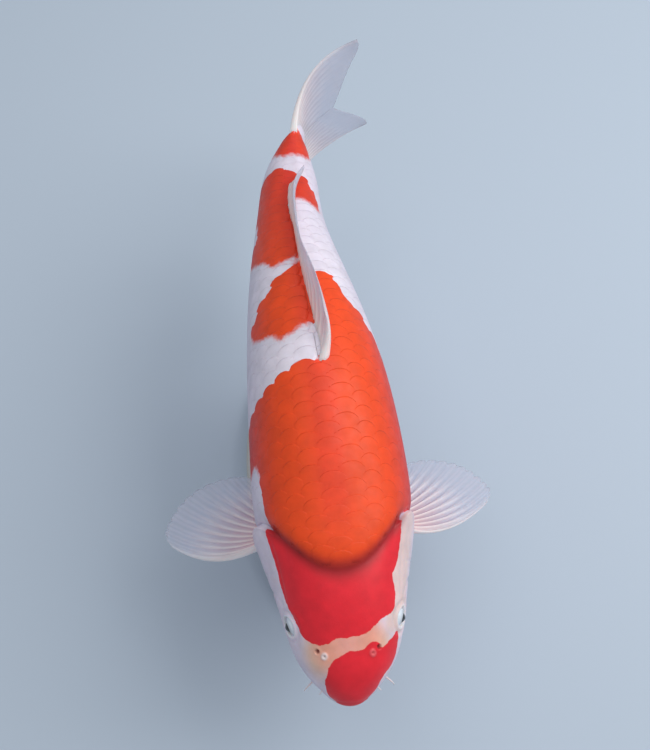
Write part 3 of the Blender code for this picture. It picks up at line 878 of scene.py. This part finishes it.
def build_plates(side, row, u):
    """Top points of every plate (scale, along, across) with their u, theta and share from front to rear."""
    side, row, middle = (value[:, None, None] for value in (side, row, u))
    length = smooth(SCALE_LENGTH, middle)[..., 0] / 1000 / STANDARD_LENGTH
    across = PLATE_ACROSS[None, None, :]
    share = PLATE_ALONG[None, :, None]
    drawn_in, roundness = PLATE_ROUND
    rear = PLATE_REAR * length * (1 - drawn_in * np.abs(across) ** roundness)
    front = -PLATE_FRONT * length
    at = middle + front + (rear - front) * share
    narrow = PLATE_NARROW + (1 - PLATE_NARROW) * ease(share, 0.0, 0.5)
    own, step = row_angle(row, middle), row_step(row, middle)
    half, end = PLATE_HALF * step, ROW_ENDS * step
    on_back = np.abs(own) < 0.5
    under = np.abs(own - 180) < 0.5
    reach_up = np.where((own - step < end) & ~on_back, np.maximum(own, half), half)
    reach_down = np.where((own + step > 180 - end) & ~under, np.maximum(180 - own, half), half)
    angle = row_angle(row, at) + np.where(across < 0, reach_up, reach_down) * across * narrow
    angle = np.where(on_back | under, angle, np.clip(angle, 0.1, 179.9))
    theta = side * np.radians(angle)
    at = np.maximum(at, gill_border(theta) + PLATES_CLEAR)
    fall = (middle + PLATE_REAR * length - at) / length
    height = REAR_STANDS - SCALE_STEP * fall - SIDE_CURL * across**6 - RIM_CURL * ease(share, 0.88, 1.0)
    height += LINE_TUBE * hill(across, 0.2) * ease(share, 0.4, 0.6) * (row == 0)
    points = form_point(at, theta, height * 0.001)
    return points, at, theta, np.broadcast_to(share, at.shape), np.broadcast_to(across, at.shape)


# The corners of a four-sided face in the order that turns it to look the other way
TURNED = [0, 3, 2, 1]


def two_sided(rows, columns):
    """Faces of a thin closed sheet: a grid of points on its front, the same grid on its back, and a rim. They
    look outwards where the columns lie clockwise from the rows, seen from the front."""
    behind = rows * columns
    index = np.arange(behind).reshape(rows, columns)
    quad = np.stack([index[:-1, :-1], index[:-1, 1:], index[1:, 1:], index[1:, :-1]], -1).reshape(-1, 4)
    rim = np.concatenate([index[0], index[1:, -1], index[-1, -2::-1], index[-2:0:-1, 0]])
    following = np.roll(rim, -1)
    wall = np.stack([rim, rim + behind, following + behind, following], -1)
    return np.concatenate([quad, quad[:, ::-1] + behind, wall])


def plate_mesh(name, side, top, normal, uv_middle, material, share, across):
    """Closed thin plates from their top points, with each plate's own patch in the map."""
    count, rows, columns = top.shape[:3]
    faces = two_sided(rows, columns) + np.arange(count)[:, None, None] * 2 * rows * columns
    # The right side mirrors the left, so its faces are turned to look outwards
    faces[side < 0] = faces[side < 0][..., TURNED]
    points = np.stack([top, top - normal * PLATE_THICKNESS], 1).reshape(-1, 3)
    along = 0.9 * share - 0.45
    patch = np.stack([np.stack([wide * across + aside, along], -1)
                      for wide, aside in ((0.4, -0.1), (0.08, 0.42))], 1)
    uv = (uv_middle[:, None] + patch.reshape(count, -1, 2) * MAP_PATCH).reshape(-1, 2)
    return mesh_object(name, points, faces.reshape(-1, 4), material, uv)


rng = np.random.default_rng(7)
# Over this share of the length round a scale's root, a marking that grows is one's front edge
EDGE_REACH = 0.012
WHOLE_SCALE = 1.7


def scale_facts(side, row, u, at, theta, share, across):
    """Colour facts for the plates. A scale takes one colour, but where it lies over a marking's front edge
    the red shows through it."""
    facts = colour_facts(at, theta)
    middle = u + 0.001
    turned = side * np.radians(row_angle(row, middle))
    ahead, inside, behind = (marking_depth(middle + reach, turned, BODY_MARKINGS)
                             for reach in (-EDGE_REACH, 0, EDGE_REACH))
    rise = (behind - ahead) / (2 * EDGE_REACH * STANDARD_LENGTH * 1000)
    front_edge = ease(rise, 0.15, 0.6)[:, None, None]
    whole = np.where(inside > 0, WHOLE_SCALE, -WHOLE_SCALE)[:, None, None]
    facts["marking"] = facts["marking"] + whole * (1 - front_edge)
    facts["softness"] = 0.3 + 2.7 * front_edge + 0 * at
    # Where a scale's rear edge takes its darker rim or its painted highlight
    facts["rim"] = ease(share, 0.94, 1.0) * ease(np.abs(across), 0.95, 0.5)
    facts["pore"] = hill(across, 0.15) * span(share, 0.45, 0.6, 0.85, 0.95) * (row == 0)[:, None, None]
    facts["tone"] = rng.uniform(-1, 1, u.shape)[:, None, None] + 0 * at
    return facts


scale_plate, add, surface = new_material("scales")
colour = koi_colour(add)
# Along each scale's rear edge the colour darkens, partly the skin between the scales and partly painted
# shade. On the sides a pale painted highlight lies there instead. Noise breaks these edges into dashes.
rim_skin_and_shade = shaded(add, colour, paint(196, 160, 178))
rim_painted_highlight = mixed(add, 0.22, colour, paint(226, 190, 214))
rim_shade_and_highlight = mixed(add, ranged(add, stored(add, "side_shade"), 0.6, 1.0), rim_skin_and_shade, rim_painted_highlight)
rim_dashes = ranged(add, noise(add, 240.0, 3.0), 0.42, 0.58, 0.0, 0.38)
colour = mixed(add, sums(add, "MULTIPLY", stored(add, "rim"), rim_dashes), colour, rim_shade_and_highlight)
pore_share = sums(add, "MULTIPLY", stored(add, "pore"), 0.34)
colour = mixed(add, pore_share, colour, shaded(add, colour, paint(150, 130, 150)))
colour = shaded(add, colour, sums(add, "MULTIPLY_ADD", stored(add, "tone"), 0.03, 1.0))
wet_finish(add, surface, colour, 700.0, 0.00008, 0.46, 0.60, 0.05)

side, row, scale_u = scale_places()
above_line = np.abs(row_angle(row, scale_u)) < LATERAL_LINE - 1
for name, wanted in (("scales_back", above_line), ("scales_belly", ~above_line)):
    which = side[wanted], row[wanted], scale_u[wanted]
    top, at, theta, share, across = build_plates(*which)
    root = map_place(which[2], which[0] * np.radians(row_angle(which[1], which[2])))
    plates = plate_mesh(name, which[0], top, body_normal(at, theta), root, scale_plate, share, across)
    facts = scale_facts(*which, at, theta, share, across)
    facts.update(ring=0 * at, hollow=0 * at)
    give(plates, **{key: np.stack([value, value], 1) for key, value in facts.items()})
    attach(plates, "root")

# The eyes: glassy balls set deep at the sides of the head and turned a little down. The pupil is a large
# black lens that bulges through a pale, silvery iris with a gold inner ring. A clear, wet coat covers it all.

IRIS_ANGLE = 50
PUPIL_ANGLE = 27
GAZE_DOWN = 0.46
EYE_BULGE = 0.0004
BALL_UNDERSIZE = 0.0002
LENS_RISE = 0.0009
IRIS_SINKS = 0.0003
PUPIL_RIM_SINKS = 0.0004
EYE_TURNS = 48
PUPIL_BLACK = (0.004, 0.004, 0.006, 1)
# Colours of the eye, by the angle from its axis in hundreds of degrees
EYE_COLOURS = (
    (0.0, PUPIL_BLACK), (0.300, PUPIL_BLACK), (0.322, paint(176, 140, 84)), (0.35, paint(186, 182, 178)),
    (0.42, paint(206, 212, 220)), (0.54, paint(236, 241, 248)),
)


def eye_rings(angles, radii):
    """Points of a ball's rings about +Z, from the angle from the axis and the radius at each."""
    turn = np.linspace(0, 2 * math.pi, EYE_TURNS, endpoint=False)[None, :]
    angles = np.radians(angles)[:, None]
    rings = [np.sin(angles) * np.cos(turn), np.sin(angles) * np.sin(turn), np.cos(angles) + 0 * turn]
    return np.stack(rings, -1) * radii[:, None, None]


def turned_to(axis, points):
    """Points that were made about +Z, turned to face along axis, with their X across the fish's length."""
    ahead = np.array([0.0, 1.0, 0.0])
    side = np.cross(ahead, axis)
    side /= np.linalg.norm(side)
    return points @ np.stack([side, np.cross(axis, side), axis])


eyeball, add, surface = new_material("eye")
ramp = add("ShaderNodeValToRGB", {0: stored(add, "from_axis")})
stops = ramp.color_ramp.elements
for i in (0, 1):
    stops[i].position, stops[i].color = EYE_COLOURS[i]
for position, colour in EYE_COLOURS[2:]:
    stops.new(position).color = colour
iris = ramp.outputs[0]
streaks = mixed(add, noise(add, 900.0), paint(196, 208, 222), paint(240, 244, 248))
fill(surface, {
    "Base Color": mixed(add, 0.5, iris, shaded(add, iris, streaks)),
    "Roughness": 0.3,
    "Coat Weight": 1.0,
    "Coat Roughness": 0.03,
    "Coat IOR": 1.4,
})

for side, word in ((1, "left"), (-1, "right")):
    centre = eye_centre(side) + eye_axis(side) * EYE_BULGE
    axis = eye_axis(side) - (0, 0, GAZE_DOWN)
    axis /= np.linalg.norm(axis)
    radius = EYE_RADIUS - BALL_UNDERSIZE
    angles = np.concatenate([np.linspace(1.5, IRIS_ANGLE, 36), np.linspace(54, 176, 26)])
    lens = LENS_RISE * ease(angles, PUPIL_ANGLE, 0) - PUPIL_RIM_SINKS * hill(angles - PUPIL_ANGLE - 2, 4)
    lens -= IRIS_SINKS * ease(angles, IRIS_ANGLE + 8, IRIS_ANGLE - 12)
    rings = eye_rings(angles, radius + lens * ease(angles, 60, 45))
    ends = [(0, 0, radius + LENS_RISE - IRIS_SINKS), (0, 0, -EYE_RADIUS)]
    points = np.concatenate([rings.reshape(-1, 3), ends])
    eye = mesh_object(f"eye_ball_{word}", centre + turned_to(axis, points), closed_rings(rings), eyeball)
    give(eye, from_axis=with_ends(np.repeat(angles / 100, EYE_TURNS), 0, 1.8))
    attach(eye, "root")
    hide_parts(f"eye_{word}")

# The feelers: a carp has two pairs of soft, tapering feelers, a short one on each side of the upper lip and a
# longer one at each corner of the mouth.

# (pair, u, theta in degrees, length, radius)
FEELERS = (("upper", 0.024, 84, 0.010, 0.0010), ("corner", 0.042, 105, 0.021, 0.0014))
FEELER_TURNS = 14
# Where the tip hangs from half a length out of the skin, in lengths
FEELER_HANG = np.array([0, 0.1, -0.8])

feeler_flesh, add, surface = new_material("feelers")
flesh = mixed(add, stored(add, "along"), paint(232, 212, 214), paint(240, 230, 234))
wet_finish(add, surface, flesh, 1500.0, 0.0001)

for side, word in ((1, "left"), (-1, "right")):
    for place_word, u, degrees, length, radius in FEELERS:
        theta = side * math.radians(degrees)
        out = body_normal(u, theta)
        root = body_point(u, theta) - out * 2 * radius
        tip = root + out * length * 0.5 + FEELER_HANG * length
        bend = root + out * length * 0.6
        share = np.linspace(0, 1, 24)[:, None]
        line = (1 - share) ** 2 * root + 2 * share * (1 - share) * bend + share**2 * tip
        ahead = np.gradient(line, axis=0)
        ahead /= np.linalg.norm(ahead, axis=1, keepdims=True)
        across = np.cross(ahead, (0, 1, 0))
        across /= np.linalg.norm(across, axis=1, keepdims=True)
        upright = np.cross(across, ahead)
        turn = np.linspace(0, 2 * math.pi, FEELER_TURNS, endpoint=False)[None, :, None]
        thick = radius * (0.95 - 0.45 * ease(share, 0, 0.2) - 0.3 * share**1.5)[:, None]
        rings = line[:, None] + (across[:, None] * np.cos(turn) + upright[:, None] * np.sin(turn)) * thick
        points = np.concatenate([rings.reshape(-1, 3), [line[0], tip + ahead[-1] * radius * 0.3]])
        feeler = mesh_object(f"barbel_{place_word}_{word}", points, closed_rings(rings), feeler_flesh)
        give(feeler, along=with_ends(np.repeat(share[:, 0], FEELER_TURNS), 0, 1))
        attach(feeler, "root")
        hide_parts(f"feeler_{place_word}_{word}")

# The fins: fans of jointed, branching rays with a thin clear skin between them. They are thick and milky at
# the root, and thin, ribbed and see-through towards a softly notched edge.

FIN_STEPS = 46
COLUMNS_PER_RAY = 8
SKIN_THICKNESS = 0.0005
# How far a ray's two branches part, as a share of the rays' spacing, and where along it
FORK = 0.20
FORK_AT = (0.40, 0.85)
RAY_WIDTH = 0.17
# Heights of rays and folds, as shares of the rays' spacing, are held to what this spacing gives
RAY_RISE = (0.20, 0.0011)
WIDEST_FOLD = 0.009

fin_skin, add, surface = new_material("fins")
out = stored(add, "out")
ray = stored(add, "ray")
# Near the root the rays are paler and the valleys between them darker: partly the rays' own colour, partly
# painted shade in the folds
root_tint = mixed(add, stored(add, "ray_and_fold_shade"), paint(206, 168, 180), paint(250, 234, 230))
edge_tint = mixed(add, ray, paint(196, 196, 220), paint(232, 226, 236))
tint = mixed(add, ranged(add, out, 0.15, 0.8), root_tint, edge_tint)
tint = mixed(add, stored(add, "lead"), tint, paint(246, 236, 236))
tint = mixed(add, stored(add, "dusk"), tint, paint(120, 116, 140))
firm = sums(add, "MULTIPLY_ADD", ray, 0.22, ranged(add, out, 0.1, 0.95, 0.97, 0.22, "SMOOTHSTEP"))
for word in ("lead", "milk"):
    firm = sums(add, "MAXIMUM", firm, stored(add, word))
along_ray = add("ShaderNodeCombineXYZ", {0: stored(add, "run")}).outputs[0]
joints = add("ShaderNodeTexWave", {"Vector": along_ray, "Scale": 150.0}, bands_direction="X").outputs["Fac"]
bumped(add, surface, sums(add, "MULTIPLY", joints, ray), 0.00012, 0.5)
fill(surface, {
    "Base Color": tint,
    "Alpha": sums(add, "MINIMUM", firm, 1.0),
    "Roughness": 0.38,
    "Subsurface Weight": 0.75,
    "Subsurface Radius": (1.0, 0.75, 0.7),
    "Subsurface Scale": 0.005,
    "Coat Weight": 0.15,
    "Coat Roughness": 0.25,
})


def build_fin(name, node, ray_shape, rays, root_thickness, lead, pleat=0.13, notch=0.02, relief=1.0,
              sweep=0.0, calm=0.12, milk=0.0, dusk=None):
    """A fin over the sheet that ray_shape gives: arrays of roots, tips and bows for shares from 0 to 1.
    lead is the leading ray's thickness at its root, pleat how deep the sheet folds between rays, as a share
    of their spacing, notch how far the edge draws in between them, as a share of the length, relief how
    strongly the rays stand out, sweep how much further back they lean than the sheet, calm how far from the
    root they are full, and milk how little the sheet lets through."""
    share = np.linspace(0, 1, (rays - 1) * COLUMNS_PER_RAY + 1)
    roots, tips, bows = ray_shape(share)
    out = np.linspace(0, 1, FIN_STEPS)[:, None] ** 0.9
    phase = share * (1 - sweep * out) * (rays - 1)
    wave = np.cos(2 * math.pi * phase)
    between = np.abs(phase - np.round(phase))
    reach = (out * (1 - notch * (2 * between) ** 2))[..., None]
    sheet = roots + (tips - roots) * reach + bows * 4 * reach * (1 - reach)
    across = np.gradient(sheet, axis=1)
    normal = np.cross(np.gradient(sheet, axis=0), across)
    normal /= np.linalg.norm(normal, axis=-1, keepdims=True)
    spacing = np.linalg.norm(across, axis=-1) * COLUMNS_PER_RAY
    fork = FORK * ease(out, *FORK_AT)
    crest = np.maximum(hill(between - fork, RAY_WIDTH), hill(between + fork, RAY_WIDTH))
    grown = ease(out, 0.0, calm)
    membrane = SKIN_THICKNESS + (root_thickness - SKIN_THICKNESS) * (1 - out) ** 2.4
    rise_share, highest = RAY_RISE
    ray_rise = relief * np.minimum(rise_share * spacing, highest) * grown * (1 - 0.85 * ease(out, 0.1, 0.9))
    fold = pleat * np.minimum(spacing, WIDEST_FOLD) * wave * grown * (1 - 0.94 * ease(out, 0.3, 0.9))
    leading = lead * hill(phase - 0.3, 0.5) * (1 - 0.8 * ease(out, -0.3, 1.0))
    rounded = np.sqrt(np.clip(1 - (1 - np.minimum(phase / 0.35, 1)) ** 2, 0.02, 1))
    half = (membrane / 2 + crest * ray_rise + leading / 2) * rounded
    sides = np.stack([sheet + normal * (half + fold)[..., None], sheet - normal * (half - fold)[..., None]])
    map_across, map_along = np.broadcast_arrays(share * 0.46 + 0.02, out * 0.96 + 0.02)
    uv = np.stack([np.stack([map_across + half_map, map_along], -1) for half_map in (0, 0.5)])
    faces = two_sided(*crest.shape)[:, TURNED]
    fin = mesh_object(name, sides.reshape(-1, 3), faces, fin_skin, uv.reshape(-1, 2))
    values = {
        "out": out,
        "ray": crest * (0.3 + 0.7 * relief) * (1 - 0.75 * ease(out, 0.35, 0.95)),
        "lead": hill(phase - 0.2, 0.6) * (1 - 0.5 * out),
        "dusk": dusk(share, out) if dusk else 0,
        # paler on the rays, with painted shade in the folds' valleys near the root
        "ray_and_fold_shade": 1 - relief * (0.5 - 0.5 * wave) * (1 - 0.8 * ease(out, 0.35, 0.9)),
        "milk": milk * (1 - 0.25 * out),
        "run": out * np.linalg.norm(tips - roots, axis=1),
    }
    give(fin, **{key: np.stack([value + 0 * crest] * 2) for key, value in values.items()})
    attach(fin, "root")
    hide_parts(node)


# Middle fins: (share of the base, u of the ray's tip, its height over the body, its lean to the left)
DORSAL_BASE = (0.483, 0.87)
DORSAL_TIPS = (
    (0.0, 0.556, 0.042, 0.020), (0.12, 0.616, 0.047, 0.019), (0.35, 0.703, 0.043, 0.008),
    (0.62, 0.795, 0.038, 0.006), (0.85, 0.868, 0.030, 0.012), (1.0, 0.908, 0.020, 0.026),
)
ANAL_BASE = (0.775, 0.852)
ANAL_TIPS = (
    (0.0, 0.842, 0.098, 0.0), (0.2, 0.868, 0.103, 0.0), (0.5, 0.890, 0.085, 0.002),
    (0.8, 0.905, 0.060, 0.004), (1.0, 0.912, 0.036, 0.005),
)
MIDDLE_FIN_INSET = 0.0048


def middle_fin_shape(base, tips, theta, drift=0.0):
    """A fin on the back (theta 0) or under the tail (pi), whose root drifts this many degrees at the rear."""
    def shape(share):
        u = base[0] + (base[1] - base[0]) * share
        up = math.cos(theta)
        root_theta = theta + math.radians(drift) * ease(share, 0.7, 1.0)
        roots = body_point(u, root_theta) - np.array([0, 0, up]) * MIDDLE_FIN_INSET
        tip_u, height, lean = np.moveaxis(smooth(tips, share), -1, 0)
        over = section(tip_u, theta + 0 * tip_u)[1] + height * up
        bow = np.stack([lean * 0.2, 0 * lean, 0.004 * up + 0 * lean], -1)
        return roots, place(tip_u, lean, over), bow
    return shape


build_fin("dorsal", "dorsal_fin", middle_fin_shape(DORSAL_BASE, DORSAL_TIPS, math.radians(1.5), -8),
          20, 0.0036, 0.0062, pleat=0.025, notch=0.008, relief=0.35, sweep=0.6, calm=0.5, milk=0.95)
build_fin("anal", "anal_fin", middle_fin_shape(ANAL_BASE, ANAL_TIPS, math.pi), 9, 0.0042, 0.0028, pleat=0.06,
          relief=0.5, milk=0.7)

# Paired fins: the root from front to rear as (u, theta in degrees), and the rays' tips as (share of the
# root, heading of the ray in degrees back from straight out, length)
PECTORAL_TIPS = (
    (0.0, 3, 0.158), (0.1, 8, 0.173), (0.25, 15, 0.177), (0.4, 24, 0.172), (0.55, 34, 0.162),
    (0.7, 45, 0.146), (0.85, 57, 0.126), (1.0, 68, 0.104),
)
PECTORAL_SWING = {"left": (10, 0.78), "right": (1, 1.0)}
PECTORAL_DROP = 0.16
PELVIC_TIPS = (
    (0.0, 64, 0.122), (0.2, 70, 0.136), (0.5, 77, 0.130), (0.8, 85, 0.106), (1.0, 93, 0.080),
)
PELVIC_DROP = 0.42
PAIRED_FIN_INSET = 0.006


def paired_fin_shape(side, root, tips, swing, drop):
    def shape(share):
        (front_u, front_degrees), (rear_u, rear_degrees) = root
        u = front_u + (rear_u - front_u) * share
        theta = side * np.radians(front_degrees + (rear_degrees - front_degrees) * share)
        surface_point = body_point(u, theta)
        roots = surface_point - body_normal(u, theta) * PAIRED_FIN_INSET
        back, length = np.moveaxis(smooth(tips, share), -1, 0)
        run, _, _, line_heading = CENTRE_LINE
        heading = np.interp(u, run, line_heading)
        turn, spread = swing
        angle = np.radians(back * spread + turn)
        out = side * np.cos(angle)
        along = np.sin(angle)
        x = out * np.cos(heading) + along * np.sin(heading)
        y = -out * np.sin(heading) + along * np.cos(heading)
        reach = np.stack([x, y, -drop + 0 * x], -1) * (length * STANDARD_LENGTH)[:, None]
        bows = (1 - share)[:, None] * np.array([0, -0.015, 0]) + np.array([0, 0, 0.005])
        return roots, surface_point + reach, bows
    return shape


for side, word in ((1, "left"), (-1, "right")):
    root = BARE_ROOTS["pectoral"][1]
    shape = paired_fin_shape(side, root, PECTORAL_TIPS, PECTORAL_SWING[word], PECTORAL_DROP)
    build_fin(f"pectoral_{word}", f"pectoral_fin_{word}", shape, 13, 0.0045, 0.0028, pleat=0.2)
    root = BARE_ROOTS["pelvic"][1]
    shape = paired_fin_shape(side, root, PELVIC_TIPS, (0, 1), PELVIC_DROP)
    build_fin(f"pelvic_{word}", f"pelvic_fin_{word}", shape, 9, 0.0045, 0.0024, milk=0.6)

# The tail fin, swept to the fish's left: (share from the leading ray to the fork, distance to the left, back
# and up of the ray's tip from the middle of the stalk's end)
TAIL_ROOT_REACH = 0.058
TAIL_PART = -0.0012
UPPER_LOBE_TIPS = (
    (0.0, 0.112, 0.144, 0.136), (0.12, 0.116, 0.140, 0.126), (0.35, 0.104, 0.126, 0.098),
    (0.7, 0.084, 0.106, 0.046), (1.0, 0.070, 0.096, -0.001),
)
LOWER_LOBE_TIPS = (
    (0.0, 0.138, 0.160, -0.138), (0.12, 0.138, 0.157, -0.126), (0.35, 0.124, 0.142, -0.090),
    (0.7, 0.092, 0.114, -0.036), (1.0, 0.071, 0.096, 0.001),
)
UPPER_BOW = 0.036
FORK_BOW = 0.012
LOWER_BOW = 0.018
LEADING_CURVE = 0.012


def tail_lobe_shape(up, tips, leading_bow):
    def shape(share):
        left, back, height = np.moveaxis(smooth(tips, share), -1, 0)
        tip = place(1.0, 0.0, 0.0) + np.stack([left, back, height], -1) * STANDARD_LENGTH
        roots = place(0.985, 0.0, up * (TAIL_ROOT_REACH * (1 - share) + TAIL_PART / STANDARD_LENGTH))
        chord = tip - roots
        sideways = np.stack([-chord[:, 1], chord[:, 0], 0 * left], -1)
        sideways /= np.linalg.norm(sideways, axis=1, keepdims=True)
        bow = leading_bow * (1 - share) + FORK_BOW * share
        outwards = np.array([0, 0, up]) * LEADING_CURVE * (1 - share[:, None])
        return roots, tip, (sideways * bow[:, None] + outwards) * STANDARD_LENGTH
    return shape


def dusky_tip(share, out):
    return 0.14 * ease(out, 0.1, 0.5) + 0.4 * ease(out, 0.80, 1.0) * ease(share, 0.45, 0.0)


for word, up, tips, bow in (
    ("upper", 1, UPPER_LOBE_TIPS, UPPER_BOW),
    ("lower", -1, LOWER_LOBE_TIPS, LOWER_BOW),
):
    build_fin(f"tail_{word}", f"tail_fin_{word}", tail_lobe_shape(up, tips, bow), 11, 0.0046, 0.0026,
              pleat=0.03, notch=0.004, relief=0.22, milk=0.45, dusk=dusky_tip)

# The stand: an oval steel base, painted, and two brushed steel rods that run up into sockets in the belly.

base_paint, add, surface = new_material("stand paint")
speckle = ranged(add, noise(add, 1800.0), 0.35, 0.65)
bumped(add, surface, noise(add, 1400.0, 3.0), 0.0001, 0.5)
fill(surface, {
    "Base Color": mixed(add, speckle, paint(176, 176, 173), paint(190, 190, 187)),
    "Roughness": ranged(add, noise(add, 60.0, 3.0), 0.3, 0.7, 0.42, 0.55),
})

brushed_steel, add, surface = new_material("brushed steel")
where = add("ShaderNodeTexCoord").outputs["Object"]
stretched = add("ShaderNodeMapping", {"Vector": where, "Scale": (60.0, 60.0, 4000.0)}).outputs[0]
grain = add("ShaderNodeTexNoise", {"Vector": stretched, "Scale": 1.0, "Detail": 3.0}).outputs["Fac"]
fill(surface, {
    "Base Color": mixed(add, grain, paint(168, 170, 173), paint(206, 207, 209)),
    "Roughness": ranged(add, grain, 0.3, 0.7, 0.22, 0.38),
    "Metallic": 1.0,
})

for node, finish in (("base", base_paint), ("rod_front", brushed_steel), ("rod_rear", brushed_steel)):
    for material_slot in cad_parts[f"stand_{node}"].material_slots:
        material_slot.material = finish

# Floor, light and camera: a pale matt floor under soft studio light, seen from above and ahead of the fish.

VIEW_DISTANCE = 2.0 * STANDARD_LENGTH
VIEW_TILT = math.radians(66)
# The point looked at, in shares of the length to the left of the snout and behind it
AIM_FROM_SNOUT = (-0.0399, 0.5404)
LENS = 56.87
SENSOR = 36

cam = bpy.data.cameras.new("camera")
cam.lens = LENS
cam.sensor_width = SENSOR
cam.sensor_fit = "AUTO"
camera = bpy.data.objects.new("camera", cam)
bpy.context.scene.collection.objects.link(camera)
aim = Vector(np.array([*AIM_FROM_SNOUT, 0]) * STANDARD_LENGTH + FROM_SNOUT + (0, 0, AXIS_HEIGHT))
camera.location = aim + Vector((0, -math.cos(VIEW_TILT), math.sin(VIEW_TILT))) * VIEW_DISTANCE
camera.rotation_mode = "QUATERNION"
camera.rotation_quaternion = (aim - camera.location).to_track_quat("-Z", "Y")
bpy.context.scene.camera = camera

world = bpy.data.worlds.new("studio")
bpy.context.scene.world = world
world.use_nodes = True
fill(world.node_tree.nodes["Background"], {"Color": (0.9, 0.95, 1.0, 1), "Strength": 0.42})


def lamp(name, location, size, power, colour=(1, 1, 1)):
    data = bpy.data.lights.new(name, "AREA")
    data.size = size
    data.energy = power
    data.color = colour
    obj = bpy.data.objects.new(name, data)
    obj.location = location
    obj.rotation_mode = "QUATERNION"
    obj.rotation_quaternion = (aim - obj.location).to_track_quat("-Z", "Y")
    bpy.context.scene.collection.objects.link(obj)


lamp("key", Vector((1.1, 0.2, 1.4)), 1.2, 18, (1, 0.98, 0.95))
lamp("overhead", Vector((-0.1, 0.3, 1.9)), 1.8, 9)

floor_mesh = bpy.data.meshes.new("floor")
floor_mesh.from_pydata([(-4, -4, 0), (4, -4, 0), (4, 4, 0), (-4, 4, 0)], [], [(0, 1, 2, 3)])
floor_paint, add, surface = new_material("floor")
fill(surface, {"Base Color": paint(184, 197, 212), "Roughness": 0.9})
floor_mesh.materials.append(floor_paint)
floor = bpy.data.objects.new("floor", floor_mesh)
bpy.context.scene.collection.objects.link(floor)
bpy.context.scene.view_settings.view_transform = "Standard"
